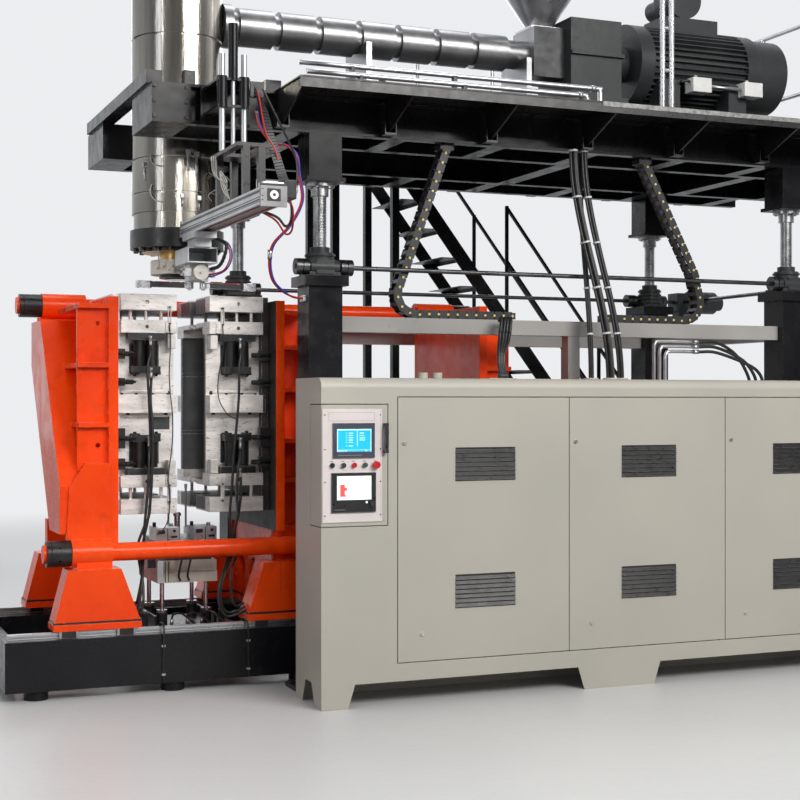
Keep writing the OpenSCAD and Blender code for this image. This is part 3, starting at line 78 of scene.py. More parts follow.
view = bpy.data.cameras.new("eye_level_view")
view.sensor_width = SENSOR
view.lens = FOCAL * SENSOR
view.shift_y = 1 / PHOTO_WIDTH
camera = shown("eye_level_view", view)
camera.location = EYE
camera.rotation_euler = (math.pi / 2, 0, -TURN)
scene.camera = camera
print("lens", round(view.lens, 1), "mm")

# %% [markdown]
# ## Wiring nodes
# World, materials and geometry are all node trees. Each socket could be set on a line of its own, as
# in the editor, but that hides the plan, so one helper adds a node and wires it in a single call.

# %% Node wiring
def feed(tree, node, *placed, **named):
    """Fill a node: values in order, then inputs by capital names and settings by small ones.
    A node given as a value stands for its first output."""
    inputs = dict(enumerate(placed))
    for name, value in named.items():
        if name[0].isupper():
            inputs[name.replace("_", " ")] = value
        else:
            setattr(node, name, value)
    for key, value in inputs.items():
        for each in value if isinstance(value, list) else [value]:
            if isinstance(each, bpy.types.Node):
                each = each.outputs[0]
            if isinstance(each, bpy.types.NodeSocket):
                tree.links.new(each, node.inputs[key])
            else:
                node.inputs[key].default_value = each
    return node


def wire(tree, kind, *placed, **named):
    return feed(tree, tree.nodes.new(kind), *placed, **named)


def mixed(tree, factor, a, b, kind="RGBA"):
    a, b = ((*value, 1) if isinstance(value, tuple) else value for value in (a, b))
    return wire(tree, "ShaderNodeMix", data_type=kind, Factor=factor, A=a, B=b).outputs["Result"]


def ranged(tree, value, low, high, to_low=0.0, to_high=1.0):
    return wire(tree, "ShaderNodeMapRange", Value=value, From_Min=low, From_Max=high,
                To_Min=to_low, To_Max=to_high).outputs[0]


def times(tree, a, b):
    return wire(tree, "ShaderNodeMath", a, b, operation="MULTIPLY").outputs[0]


# %% [markdown]
# ## Light and backdrop
# The hall has daylight from high windows. Building the hall would take long and show little, so a
# pale studio stands in for it. The world is darker behind the camera: black enamel stays black, and
# bright metal has something to show. Camera rays see one even backdrop.

# %% World
scene.view_settings.view_transform = "Standard"
SKY = (0.84, 0.85, 0.87, 1)


def studio_world():
    world = bpy.data.worlds.new("pale_studio")
    world.use_nodes = True
    scene.world = world
    tree = world.node_tree
    tree.nodes.clear()
    place = wire(tree, "ShaderNodeTexCoord").outputs["Generated"]
    depth = wire(tree, "ShaderNodeSeparateXYZ", place).outputs["Y"]
    tint = mixed(tree, ranged(tree, depth, -0.5, 0.35), (0.16, 0.165, 0.17), (0.86, 0.88, 0.90))
    shown = wire(tree, "ShaderNodeBackground", Color=(0.93, 0.96, 1.0, 1), Strength=0.42)
    ray = wire(tree, "ShaderNodeLightPath")
    for which, colour in (("Is Glossy Ray", tint), ("Is Camera Ray", SKY)):
        layer = wire(tree, "ShaderNodeBackground", Color=colour)
        shown = wire(tree, "ShaderNodeMixShader", ray.outputs[which], shown, layer)
    wire(tree, "ShaderNodeOutputWorld", Surface=shown)


studio_world()
print("world:", scene.world.name)

# %% [markdown]
# Four soft boxes stand for the windows: a wide one over the operator side, a strip from the left, one
# above and one behind. A narrow fifth lifts the clamp. Point lamps would be less to set, but only a
# broad lamp draws long soft reflections on enamel and nickel.

# %% Soft boxes
def soft_box(name, place, aim, size, power, colour=(1, 1, 1), spread=180):
    lamp = bpy.data.lights.new(name, "AREA")
    lamp.shape = "RECTANGLE"
    lamp.size, lamp.size_y = size
    lamp.energy = power
    lamp.color = colour
    lamp.spread = math.radians(spread)
    holder = shown(name, lamp)
    holder.location = place
    holder.rotation_euler = (Vector(aim) - Vector(place)).to_track_quat("-Z", "Y").to_euler()


soft_box("front_soft_box", (2.5, -11.0, 7.5), (-0.5, 0, 1.8), (7, 4), 1080, (1.0, 0.98, 0.95))
soft_box("clamp_soft_box", (-3.2, -8.2, 4.2), (-2.35, -0.4, 1.5), (1.6, 1.6), 3.7, (1.0, 0.97, 0.94), 28)
soft_box("left_strip", (-9.5, -4.5, 5.0), (-2.2, 0, 2.2), (2.0, 5), 120, (0.93, 0.96, 1.0))
soft_box("top_strip", (-1.0, 1.0, 10.5), (-0.6, 0, 2.0), (9, 3), 330)
soft_box("rear_strip", (2.0, 8.5, 6.0), (0, 0, 2.0), (8, 3), 260, (0.95, 0.98, 1.0))

# %% [markdown]
# ## Finishes
# Picture textures would need unwrapped parts, so each finish is one node tree on Object coordinates,
# and its grain has the real scale in metres. A broad noise shifts the colour, a finer one the gloss,
# and a third gives relief. A Bevel node finds the edges, and the lighter edge colour on them is partly
# wear and partly a painted highlight where edges catch light.

# %% Finish maker
GRAIN = 60.0
EVEN = (1, 1, 1)
COAT_ROUGH = 0.12
RELIEF_DEPTH = 0.002
DUST = (0.42, 0.40, 0.37)
GATE = 1e4
BLOTCHES, SPOTS, GLOSS = (0.35, 0.68), (0.55, 0.72), (0.3, 0.7)
FLAT_UP, EDGE_WEAR_AND_HIGHLIGHT = (0.6, 0.98), (0.995, 0.86)


def noise(tree, scale, detail=3.0, stretch=EVEN, rough=0.5):
    place = wire(tree, "ShaderNodeTexCoord").outputs["Object"]
    place = wire(tree, "ShaderNodeMapping", Vector=place, Scale=stretch)
    return wire(tree, "ShaderNodeTexNoise", Vector=place, Scale=scale, Detail=detail,
                Roughness=rough).outputs["Fac"]


def facing(tree, axis, low, high):
    normal = wire(tree, "ShaderNodeNewGeometry").outputs["Normal"]
    return ranged(tree, wire(tree, "ShaderNodeSeparateXYZ", normal).outputs[axis], low, high)


def edge_mask(tree, radius):
    soft = wire(tree, "ShaderNodeBevel", samples=4, Radius=radius)
    flat = wire(tree, "ShaderNodeNewGeometry").outputs["Normal"]
    dot = wire(tree, "ShaderNodeVectorMath", soft, flat, operation="DOT_PRODUCT")
    return ranged(tree, dot.outputs["Value"], *EDGE_WEAR_AND_HIGHLIGHT), soft


def inside(tree, **limits):
    """1 where a point lies between the given limits on every axis named, else 0."""
    place = wire(tree, "ShaderNodeTexCoord").outputs["Object"]
    axes = wire(tree, "ShaderNodeSeparateXYZ", place).outputs
    total = None
    for axis, (low, high) in limits.items():
        for edge, step in ((low, GATE), (high, -GATE)):
            gate = ranged(tree, axes[axis.upper()], edge, edge + 1 / step)
            total = gate if total is None else times(tree, total, gate)
    return total


def tones(tree, base, shade, rough=(0.3, 0.45), metal=0.0, blotch=2.5, grain=GRAIN, stretch=EVEN,
          dirt=None):
    """Colour and gloss of one finish: (colour, roughness, metallic)."""
    colour = mixed(tree, ranged(tree, noise(tree, blotch, 4, stretch), *BLOTCHES), base, shade)
    if dirt:
        spots = ranged(tree, noise(tree, blotch * 4.3, 6, stretch, 0.65), *SPOTS)
        colour = mixed(tree, times(tree, spots, dirt[3]), colour, dirt[:3])
    gloss = ranged(tree, noise(tree, grain * 0.35, 3, stretch), *GLOSS, *rough)
    return colour, gloss, metal


def finish(name, base, shade, rough=(0.3, 0.45), relief=0.0, coat=0.0, edge=None, edge_size=0.004,
           dust=0.0, zones=(), specular=0.5, **look):
    """One material. Each zone is (limits, tones) and covers those before it."""
    material = bpy.data.materials.new(name)
    material.use_nodes = True
    tree = material.node_tree
    colour, gloss, metal = tones(tree, base, shade, rough, **look)
    metallic = metal
    for limits, other in zones:
        mask = inside(tree, **limits)
        other_colour, other_gloss, other_metal = tones(tree, **other)
        colour = mixed(tree, mask, colour, other_colour)
        gloss = mixed(tree, mask, gloss, other_gloss, "FLOAT")
        if (metallic, other_metal) != (metal, metal):
            metallic = mixed(tree, mask, metallic, other_metal, "FLOAT")
    if dust:
        specks = ranged(tree, noise(tree, 5, 5), *GLOSS, 0.4, 1)
        settled = times(tree, facing(tree, "Z", *FLAT_UP), specks)
        colour = mixed(tree, times(tree, settled, dust), colour, DUST)
    normal = None
    if edge:
        mask, normal = edge_mask(tree, edge_size)
        # The edge colour is partly wear and partly a painted highlight where edges catch light.
        worn = times(tree, mask, ranged(tree, noise(tree, 35, 3), 0.35, 0.6, 0.25, 1))
        colour = mixed(tree, worn, colour, edge)
    if relief:
        height = noise(tree, look.get("grain", GRAIN), 4, look.get("stretch", EVEN))
        bump = wire(tree, "ShaderNodeBump", Strength=relief, Distance=RELIEF_DEPTH, Height=height)
        if normal:
            feed(tree, bump, Normal=normal)
        normal = bump
    shader = feed(tree, tree.nodes["Principled BSDF"], Base_Color=colour, Roughness=gloss,
                  Metallic=metallic, Coat_Weight=coat, Coat_Roughness=COAT_ROUGH,
                  Specular_IOR_Level=specular)
    if normal:
        feed(tree, shader, Normal=normal)
    return material


# %% [markdown]
# The machine wears black and orange enamel, grey powder coat on the cabinet and plain machine paint
# on bought parts. A car-paint shader could do all of them, but a thin coat over a rough base is
# enough and renders faster.

# %% Painted finishes
black_enamel = finish("black_enamel", (0.008, 0.008, 0.010), (0.015, 0.015, 0.017), (0.16, 0.34), blotch=1.8,
                      grain=25, relief=0.12, coat=0.06, edge=(0.10, 0.10, 0.105), dust=0.05, specular=0.18)
ORANGE = dict(base=(1.0, 0.078, 0.004), shade=(0.88, 0.052, 0.003), rough=(0.20, 0.36), blotch=1.6, grain=22,
              relief=0.10, coat=0.12, specular=0.2, edge=(0.98, 0.17, 0.04), edge_size=0.005, dust=0.06,
              dirt=(0.22, 0.02, 0.008, 0.3))
orange_enamel = finish("orange_enamel", **ORANGE)
grey_powder = finish("grey_powder_coat", (0.50, 0.475, 0.41), (0.46, 0.44, 0.385), (0.38, 0.50), blotch=1.2,
                     grain=420, relief=0.10, edge=(0.58, 0.56, 0.50), edge_size=0.004)
dark_machine = finish("dark_machine_paint", (0.030, 0.034, 0.036), (0.045, 0.048, 0.050), (0.30, 0.5),
                      blotch=3, grain=90, relief=0.25, edge=(0.12, 0.12, 0.12), dust=0.10, specular=0.3)
light_machine = finish("light_machine_paint", (0.50, 0.50, 0.48), (0.42, 0.42, 0.41), (0.35, 0.5), blotch=2,
                       grain=200, relief=0.15)

# %% [markdown]
# Ground bars, oiled bolts, milled moulds and the nickel jacket differ in colour, gloss and streaks.
# One steel for all would be simpler, but the photograph tells them apart at a glance.

# %% Metal finishes
ground_steel = finish("ground_steel", (0.60, 0.60, 0.62), (0.48, 0.48, 0.50), (0.26, 0.40), metal=0.9,
                      blotch=6, grain=40)
dark_steel = finish("oiled_steel", (0.11, 0.11, 0.115), (0.06, 0.06, 0.062), (0.25, 0.45), metal=0.9,
                    blotch=8, grain=140, relief=0.15)
blackened = finish("blackened_steel", (0.020, 0.020, 0.022), (0.036, 0.035, 0.034), (0.28, 0.46), metal=0.5,
                   blotch=9, grain=150, relief=0.2, edge=(0.14, 0.14, 0.14), edge_size=0.003)
MOULD = dict(base=(0.94, 0.89, 0.86), shade=(0.66, 0.625, 0.60), rough=(0.26, 0.48), metal=0.55, blotch=7,
             grain=120, stretch=(0.6, 0.6, 2.4), dirt=(0.12, 0.10, 0.085, 0.42), relief=0.08,
             edge=(0.95, 0.93, 0.90), edge_size=0.005)
mould_metal = finish("milled_mould_metal", **MOULD)
NICKEL = dict(base=(0.84, 0.79, 0.70), shade=(0.40, 0.36, 0.30), rough=(0.10, 0.22), metal=1.0, blotch=6,
              grain=20, stretch=(1, 1, 0.14), dirt=(0.16, 0.13, 0.10, 0.45))
nickel_jacket = finish("nickel_jacket", relief=1.0, **NICKEL)
chrome = finish("hard_chrome", (0.78, 0.78, 0.80), (0.70, 0.70, 0.72), (0.06, 0.14), metal=1.0, blotch=4)
aluminium = finish("milled_aluminium", (0.70, 0.71, 0.72), (0.62, 0.63, 0.64), (0.24, 0.38), metal=0.9,
                   blotch=5, grain=220, relief=0.08, edge=(0.85, 0.85, 0.86), edge_size=0.002)

# %% [markdown]
# Chains, hoses and buttons are matt plastic and rubber. They need no coat and no lighter edges, so
# the same maker gives them only a faint blotch and grain.

# %% Plastic and rubber finishes
chain_plastic = finish("chain_plastic", (0.016, 0.016, 0.018), (0.028, 0.028, 0.03), (0.36, 0.5), blotch=12,
                       grain=300, relief=0.1)
hose_rubber = finish("hose_rubber", (0.014, 0.014, 0.015), (0.026, 0.026, 0.027), (0.30, 0.44), blotch=15,
                     grain=260, relief=0.15)
red_plastic = finish("red_plastic", (0.62, 0.02, 0.02), (0.52, 0.015, 0.015), (0.2, 0.3), blotch=20)
green_plastic = finish("dark_green_plastic", (0.04, 0.10, 0.07), (0.03, 0.07, 0.05), (0.25, 0.35), blotch=20)
dark_plastic = finish("dark_plastic", (0.03, 0.033, 0.035), (0.045, 0.047, 0.05), (0.25, 0.38), blotch=20)

# %% [markdown]
# The record gives each CAD node a material slot. Its finish could be picked node by node, but most
# follow from the slot, so a table does it and only the exceptions are listed later.

# %% Dress by slot
DRESS = {
    "black_paint": black_enamel, "orange_paint": orange_enamel, "grey_paint": grey_powder,
    "stair_paint": black_enamel, "light_machine_paint": light_machine, "motor_paint": dark_machine,
    "gear_paint": dark_machine, "bright_steel": ground_steel, "dark_steel": dark_steel,
    "blackened_steel": blackened, "mould_metal": mould_metal, "nickel": nickel_jacket, "chrome": chrome,
    "aluminium": aluminium, "chain_plastic": chain_plastic, "cable_rubber": hose_rubber,
    "green_button": green_plastic, "red_button": red_plastic, "dark_button": dark_plastic,
}
print("slots:", len(DRESS))

# %% [markdown]
# Some nodes carry two or three finishes: rail blocks under the orange feet, black grilles and bright
# locks in the grey doors, a cream heater band on the black head. The mesh could be cut and given
# several materials, but a zone, a box in metres with its own tones, leaves the CAD mesh whole.

# %% Zone tones
RAIL_BLOCK = dict(base=(0.42, 0.42, 0.43), shade=(0.30, 0.30, 0.31), rough=(0.22, 0.36), metal=0.9, blotch=9)
DARK_STEEL = dict(base=(0.05, 0.05, 0.052), shade=(0.03, 0.03, 0.032), rough=(0.3, 0.45), metal=0.7, blotch=9)
BLACK_COAT = dict(base=(0.012, 0.012, 0.013), shade=(0.022, 0.022, 0.023), rough=(0.25, 0.4), blotch=5)
BRIGHT = dict(base=(0.62, 0.62, 0.64), shade=(0.50, 0.50, 0.52), rough=(0.2, 0.34), metal=0.95, blotch=8)
ALUMINIUM = dict(base=(0.60, 0.61, 0.62), shade=(0.48, 0.49, 0.50), rough=(0.38, 0.52), metal=0.9, blotch=5)
CREAM = dict(base=(0.80, 0.765, 0.68), shade=(0.68, 0.64, 0.55), rough=(0.4, 0.55), blotch=14)
PLATE = dict(base=(0.80, 0.72, 0.71), shade=(0.74, 0.67, 0.66), rough=(0.3, 0.42), blotch=6)
BEZEL = dict(base=(0.055, 0.07, 0.10), shade=(0.045, 0.058, 0.085), rough=(0.28, 0.4), blotch=9)
BRASS = dict(base=(0.60, 0.40, 0.16), shade=(0.42, 0.27, 0.10), rough=(0.25, 0.4), metal=1.0, blotch=20)
BELT = dict(base=(0.16, 0.035, 0.02), shade=(0.11, 0.025, 0.016), rough=(0.5, 0.6), blotch=12)
GREY_COAT = dict(base=(0.50, 0.475, 0.41), shade=(0.46, 0.44, 0.385), rough=(0.38, 0.50), blotch=1.2,
                 grain=420)
# Painted shade: a dark tone for the hollow of the mould cavity.
CAVITY_SHADE = dict(base=(0.15, 0.153, 0.16), shade=(0.105, 0.107, 0.112), rough=(0.38, 0.5), metal=0.4, blotch=5)
# Painted shadow: near black for the mould's back plate and the platen face beside it, in the gap.
BACK_PLATE_SHADOW = dict(base=(0.045, 0.038, 0.035), shade=(0.022, 0.019, 0.018), rough=(0.5, 0.65), metal=0.3,
                  blotch=9)
AXIS_CAP = dict(base=(0.26, 0.26, 0.27), shade=(0.16, 0.16, 0.165), rough=(0.38, 0.52), metal=0.9, blotch=5)

# %% [markdown]
# Each list below holds the zones of one node: its limits are read off the CAD, so a zone ends exactly
# where the real part does.

# %% Zones
FOOT_TOP = 0.4203
FEET_X = (-2.935, -1.70, -0.122)
GRILLES_X = (-0.4455, 0.7345, 1.9145)
CAVITY_Y, CAVITY_Z = (-0.325, 0.325), (1.12, 2.52)


def about(middle, reach):
    return middle - reach, middle + reach


blocks = [(dict(z=(0.0, FOOT_TOP)), RAIL_BLOCK), (dict(z=(0.4602, 0.4745)), DARK_STEEL)]
for foot in FEET_X:
    for at in (foot + 0.03, foot + 0.387):
        blocks.append((dict(x=(at + 0.016, at + 0.104), z=(0.0, FOOT_TOP)), DARK_STEEL))
grilles = [(dict(x=about(m, 0.206), y=(-1.61, -1.585), z=(z, z + 0.208)), BLACK_COAT)
           for m in GRILLES_X for z in (0.564, 1.346)]
locks = [(dict(y=(-1.61, -1.5955), z=about(z, 0.014)), BRIGHT) for z in (1.582, 0.42)]
panel = [(dict(x=(-1.5205, -1.1385), y=(-1.6005, -1.5985), z=(1.1155, 1.7925)), PLATE),
         (dict(x=(-1.456, -1.189), y=(-1.613, -1.6008), z=(1.50, 1.709)), BEZEL),
         (dict(x=(-1.465, -1.182), y=(-1.613, -1.6008), z=(1.175, 1.413)), BLACK_COAT),
         (dict(x=(-1.1335, -1.107), y=(-1.64, -1.5955), z=(1.52, 1.71)), BLACK_COAT)]
axis = [(dict(z=(3.0055, 3.32)), BLACK_COAT), (dict(x=(-2.060, -1.960), z=(2.905, 2.9125)), BELT)]
axis += [(dict(y=(-2.25, -2.15), z=(2.85, 3.0048)), AXIS_CAP)]
axis += [(dict(x=(-2.080, -2.070), z=(z, z + 0.007)), BLACK_COAT) for z in (2.925, 2.948, 2.985)]
print("grille zones:", len(grilles))

# %% [markdown]
# These nodes get a finish of their own instead of the one of their slot.

# %% Dress the CAD nodes
DOOR = dict(relief=0.10, edge=(0.58, 0.56, 0.50), edge_size=0.003, **GREY_COAT)
# Painted shade: the left side of the nickel jacket is darker, where it reflects little light.
SHADED_JACKET_SIDE = dict(NICKEL, base=(0.26, 0.25, 0.23), shade=(0.14, 0.135, 0.125))
OWN = {
    "left_platen": finish("platen_orange", zones=blocks, **ORANGE),
    "door_1": finish("door_grey", zones=grilles + locks, **DOOR),
    "control_door": finish("control_grey", zones=panel, **DOOR),
    "takeout_frame": finish("axis_aluminium", zones=axis, **ALUMINIUM),
    "takeout_carriage": finish("arm_aluminium", **ALUMINIUM, zones=[
        (dict(y=(-0.6405, -0.5755), z=(2.61, 2.7215)), CREAM)]),
    "head_base": finish("head_black", **BLACK_COAT, zones=[
        (dict(z=(2.694, 2.7855)), CREAM), (dict(z=(2.7855, 2.8405)), BRASS)]),
    "blow_table": finish("blow_steel", **BRIGHT, zones=[
        (dict(z=(0.6395, 0.7865)), CREAM), (dict(z=(0.7865, 0.9152)), BLACK_COAT)]),
    # The x zone on the jacket's left side is painted shade.
    "head_shroud": finish("head_jacket", relief=1.0, **NICKEL, zones=[
        (dict(x=(-2.31, -2.165)), SHADED_JACKET_SIDE)]),
    # The cavity zones of both mould halves are painted shade in the hollow.
    "left_mould": finish("left_cavity", **MOULD, zones=[
        (dict(x=(-2.44, -2.105), y=CAVITY_Y, z=CAVITY_Z), CAVITY_SHADE)]),
    # The right half's back plate zone is painted shadow.
    "right_mould": finish("right_cavity", **MOULD, zones=[
        (dict(x=(-1.895, -1.56), y=CAVITY_Y, z=CAVITY_Z), CAVITY_SHADE), (dict(x=(-1.5262, -1.47)), BACK_PLATE_SHADOW)]),
    # The thin zone on the platen face next to the mould is painted shadow.
    "right_platen": finish("right_orange", **ORANGE, zones=blocks + [
        (dict(x=(-1.4805, -1.4785), z=(0.6, 2.51)), BACK_PLATE_SHADOW)]),
    "ring_left_upper": finish("ring_metal", **MOULD, zones=[
        (dict(z=z), DARK_STEEL) for z in ((2.2335, 2.2798), (1.3622, 1.4085))]),
    "jaw_left": finish("jaw_metal", **BRIGHT, zones=[
        (dict(x=x), DARK_STEEL) for x in ((-2.31, -2.085), (-1.915, -1.69))]),
    # The dark strips along the rail's side are painted shade in its grooves.
    "guide_rails": finish("rail_steel", (0.60, 0.60, 0.62), (0.48, 0.48, 0.50), (0.26, 0.40), metal=0.9,
                          blotch=6, zones=[
        (dict(z=(z, z + 0.003)), DARK_STEEL) for z in (0.3765, 0.3885, 0.396)]),
    "column_rails": finish("rail_grey", (0.40, 0.385, 0.37), (0.24, 0.232, 0.225), (0.26, 0.42), blotch=1.1,
                           grain=25, relief=0.08, edge=(0.55, 0.53, 0.51)),
    "jack_screws": finish("thread_steel", (0.44, 0.44, 0.45), (0.24, 0.24, 0.245), (0.24, 0.40), metal=0.95,
                          blotch=14),
    "platform_deck": finish("deck_black", zones=[(dict(z=(3.7935, 5.6)), BRIGHT)], **BLACK_COAT),
    "blow_stand": finish("stand_black", zones=[(dict(z=(0.435, 0.4562)), BRIGHT)], **BLACK_COAT),
    "extruder_barrel": finish("barrel_steel", (0.34, 0.34, 0.35), (0.24, 0.24, 0.25), (0.28, 0.42), metal=0.9,
                              blotch=5, zones=[(dict(x=(0.64, 0.90)), DARK_STEEL)]),
}
for like, others in (("ring_left_upper", ("ring_left_lower", "ring_right_upper", "ring_right_lower")),
                     ("jaw_left", ("jaw_right",)), ("left_platen", ("yoke",)),
                     ("door_1", ("door_2", "door_3"))):
    OWN.update(dict.fromkeys(others, OWN[like]))
slot_of = {part["node"]: part["material_slot"] for part in frame["record"]["subparts"]}
for name, obj in frame["nodes"].items():
    obj.data.materials.clear()
    obj.data.materials.append(OWN.get(name) or DRESS[slot_of[name]])
print("dressed", len(slot_of), "nodes")

# %% [markdown]
# ## Workshop
# Small fittings are welded up from blocks, turned bars and hoses. They could be primitives joined in
# the viewport, but here each helper adds its faces to one bmesh, so a whole group of fittings becomes
# a single object at the origin. Slot numbers choose among the finishes of the group.

# %% Solid helpers
def mm(text):
    """Points in metres, from x y z in millimetres with a comma between points."""
    return [tuple(float(n) / 1000 for n in point.split()) for point in text.split(",")]


def box(bm, x, y, z, slot=0, bevel=0.0):
    """A block between the given x, y and z limits, in metres."""
    size = [high - low for low, high in (x, y, z)]
    centre = Vector([(low + high) / 2 for low, high in (x, y, z)])
    before = set(bm.faces)
    made = bmesh.ops.create_cube(bm, size=1, matrix=Matrix.Translation(centre) @ Matrix.Diagonal((*size, 1)))
    if bevel:
        edges = list({e for v in made["verts"] for e in v.link_edges})
        bmesh.ops.bevel(bm, geom=edges, offset=bevel, segments=2, affect="EDGES", profile=0.6)
    for face in bm.faces:
        if face not in before:
            face.material_index = slot


def upright(start, end):
    """The place halfway from start to end, with Z turned towards the end."""
    turn = Vector((0, 0, 1)).rotation_difference(end - start).to_matrix().to_4x4()
    return Matrix.Translation((start + end) / 2) @ turn


def bar(bm, start, end, radius, slot=0, sides=20):
    """A round bar from start to end."""
    start, end = Vector(start), Vector(end)
    made = bmesh.ops.create_cone(bm, cap_ends=True, segments=sides, radius1=radius, radius2=radius,
                                 depth=(end - start).length, matrix=upright(start, end))
    for face in {f for v in made["verts"] for f in v.link_faces}:
        face.material_index = slot
        face.smooth = len(face.verts) == 4


def smooth_route(points, steps=6):
    """Points of a round curve through the given ones (Catmull-Rom)."""
    points = [Vector(p) for p in points]
    ends = [2 * points[0] - points[1]] + points + [2 * points[-1] - points[-2]]
    route = []
    for i in range(len(points) - 1):
        a, b, c, d = ends[i:i + 4]
        for k in range(steps):
            t = k / steps
            route.append(0.5 * (2 * b + (c - a) * t + (2 * a - 5 * b + 4 * c - d) * t ** 2
                                + (3 * b - a - 3 * c + d) * t ** 3))
    return route + [points[-1]]


def hose(bm, points, radius, slot=0, sides=10, steps=6, ripple=0.0):
    """A hose swept along a round curve; ripple swells every second ring, as on a corrugated one."""
    route = smooth_route(points, steps)
    rings = []
    side = None
    for i, at in enumerate(route):
        along = (route[min(i + 1, len(route) - 1)] - route[max(i - 1, 0)]).normalized()
        if side is None:
            side = along.orthogonal().normalized()
        side = (side - along * side.dot(along)).normalized()
        other = along.cross(side)
        r = radius + (ripple if i % 2 else 0)
        rings.append([bm.verts.new(at + r * (math.cos(a) * side + math.sin(a) * other))
                      for a in (2 * math.pi * k / sides for k in range(sides))])
    for one, two in zip(rings, rings[1:]):
        for k in range(sides):
            face = bm.faces.new((one[k], one[(k + 1) % sides], two[(k + 1) % sides], two[k]))
            face.material_index = slot
            face.smooth = True
    for ring in (rings[0][::-1], rings[-1]):
        bm.faces.new(ring).material_index = slot


# %% [markdown]
# A group of fittings rides on one body of the frame, or is joined to another piece.

# %% Objects from fittings
def plain(name, build, finishes):
    """A fittings object that is not yet tied to a body."""
    bm = bmesh.new()
    build(bm)
    bmesh.ops.recalc_face_normals(bm, faces=bm.faces)
    mesh = bpy.data.meshes.new(name)
    bm.to_mesh(mesh)
    bm.free()
    for each in finishes:
        mesh.materials.append(each)
    print(name, len(mesh.polygons), "faces")
    return shown(name, mesh)


def piece(name, build, finishes, body):
    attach(plain(name, build, finishes), body)


def joined(keep, *others):
    """One object out of several, with their materials."""
    with bpy.context.temp_override(active_object=keep, selected_editable_objects=[keep, *others]):
        bpy.ops.object.join()
    return keep


# %% [markdown]
# ## Repeats
# Bolt heads, chain links and cable ties are the same part many times over. Copies placed in a loop
# would do, but three Geometry Nodes trees keep their sizes as named inputs: heads on points, links
# along a chain's line, ties along a cable. Each result is kept as a plain mesh, so that it can ride
# on one body or be joined to another piece.

# %% Tree maker
def new_tree(name, **sockets):
    """A tree with named inputs: the tree, what it is given, and a maker of geometry nodes."""
    tree = bpy.data.node_groups.new(name, "GeometryNodeTree")
    for label, kind in {"Geometry": "Geometry", **sockets}.items():
        tree.interface.new_socket(label.replace("_", " "), in_out="INPUT", socket_type="NodeSocket" + kind)
    tree.interface.new_socket("Geometry", in_out="OUTPUT", socket_type="NodeSocketGeometry")

    def add(kind, *placed, **named):
        return wire(tree, "GeometryNode" + kind, *placed, **named)

    return tree, wire(tree, "NodeGroupInput").outputs, add


def repeated(tree, points, shape, aim, **axes):
    """The shape on every point, turned along the aim."""
    turn = wire(tree, "FunctionNodeAlignRotationToVector", Vector=aim, **axes)
    return wire(tree, "GeometryNodeInstanceOnPoints", Points=points, Instance=shape, Rotation=turn)


def grown(name, verts, edges, tree, body=None, aims=None, **values):
    """Run a tree on points or lines and keep the result as a plain mesh object."""
    mesh = bpy.data.meshes.new(name + "_line")
    mesh.from_pydata([tuple(v) for v in verts], edges, [])
    if aims:
        store = mesh.attributes.new("aim", "FLOAT_VECTOR", "POINT")
        for item, aim in zip(store.data, aims):
            item.vector = aim
    seed = shown(name + "_line", mesh)
    modifier = seed.modifiers.new(name, "NODES")
    modifier.node_group = tree
    for item in tree.interface.items_tree:
        if item.in_out == "INPUT" and item.name.replace(" ", "_") in values:
            modifier[item.identifier] = values[item.name.replace(" ", "_")]
    seed.update_tag()
    bpy.context.view_layer.update()
    done = bpy.data.meshes.new_from_object(seed.evaluated_get(bpy.context.evaluated_depsgraph_get()))
    bpy.data.objects.remove(seed)
    obj = shown(name, done)
    if body:
        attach(obj, body)
    print(name, len(done.polygons), "faces")
    return obj


# %% [markdown]
# A bolt head is a hexagon on a washer, set on each point and turned along the point's own aim.

# %% Bolt head tree
WASHER_RATIO, WASHER_THICK = 1.35, 0.003


def bolt_tree():
    tree, given, add = new_tree("bolt_heads", Radius="Float", Height="Float", Finish="Material")
    head = add("MeshCylinder", Vertices=6, Radius=given["Radius"], Depth=given["Height"])
    wide = times(tree, given["Radius"], WASHER_RATIO)
    washer = add("MeshCylinder", Vertices=14, Radius=wide, Depth=WASHER_THICK)
    aim = add("InputNamedAttribute", data_type="FLOAT_VECTOR", Name="aim")
    many = repeated(tree, given["Geometry"], add("JoinGeometry", Geometry=[head, washer]), aim, axis="Z")
    real = add("RealizeInstances", many)
    wire(tree, "NodeGroupOutput", add("SetMaterial", Geometry=real, Material=given["Finish"]))
    return tree


BOLTS = bolt_tree()
print("nodes:", len(BOLTS.nodes))

# %% [markdown]
# One chain link is two side plates with overlapping inner ones, a yellow pin cap on each side and two
# crossbars, repeated at even steps along the chain's line.

# %% Chain link tree
def link_tree():
    tree, given, add = new_tree("chain_links", Pitch="Float", Plate="Material", Pin="Material")
    line = add("MeshToCurve", given["Geometry"])
    even = add("ResampleCurve", mode="LENGTH", Curve=line, Length=given["Pitch"])
    parts = []

    def part(kind, place, look, turn=(0, 0, 0), **size):
        moved = add("Transform", Geometry=add(kind, **size), Translation=place, Rotation=turn)
        parts.append(add("SetMaterial", Geometry=moved, Material=given[look]))

    for side in (-1, 1):
        part("MeshCube", (0, side * 0.048, 0), "Plate", Size=(0.058, 0.008, 0.054))
        part("MeshCube", (0.033, side * 0.041, 0), "Plate", Size=(0.05, 0.006, 0.044))
        part("MeshCylinder", (0.033, side * 0.0485, 0), "Pin", (math.pi / 2, 0, 0), Vertices=12,
             Radius=0.0085, Depth=0.010)
    for high in (-1, 1):
        part("MeshCube", (0, 0, high * 0.0235), "Plate", Size=(0.026, 0.09, 0.005))
    whole = add("JoinGeometry", Geometry=parts)
    many = repeated(tree, even, whole, add("InputTangent"), axis="X", pivot_axis="Y")
    wire(tree, "NodeGroupOutput", add("RealizeInstances", many))
    return tree


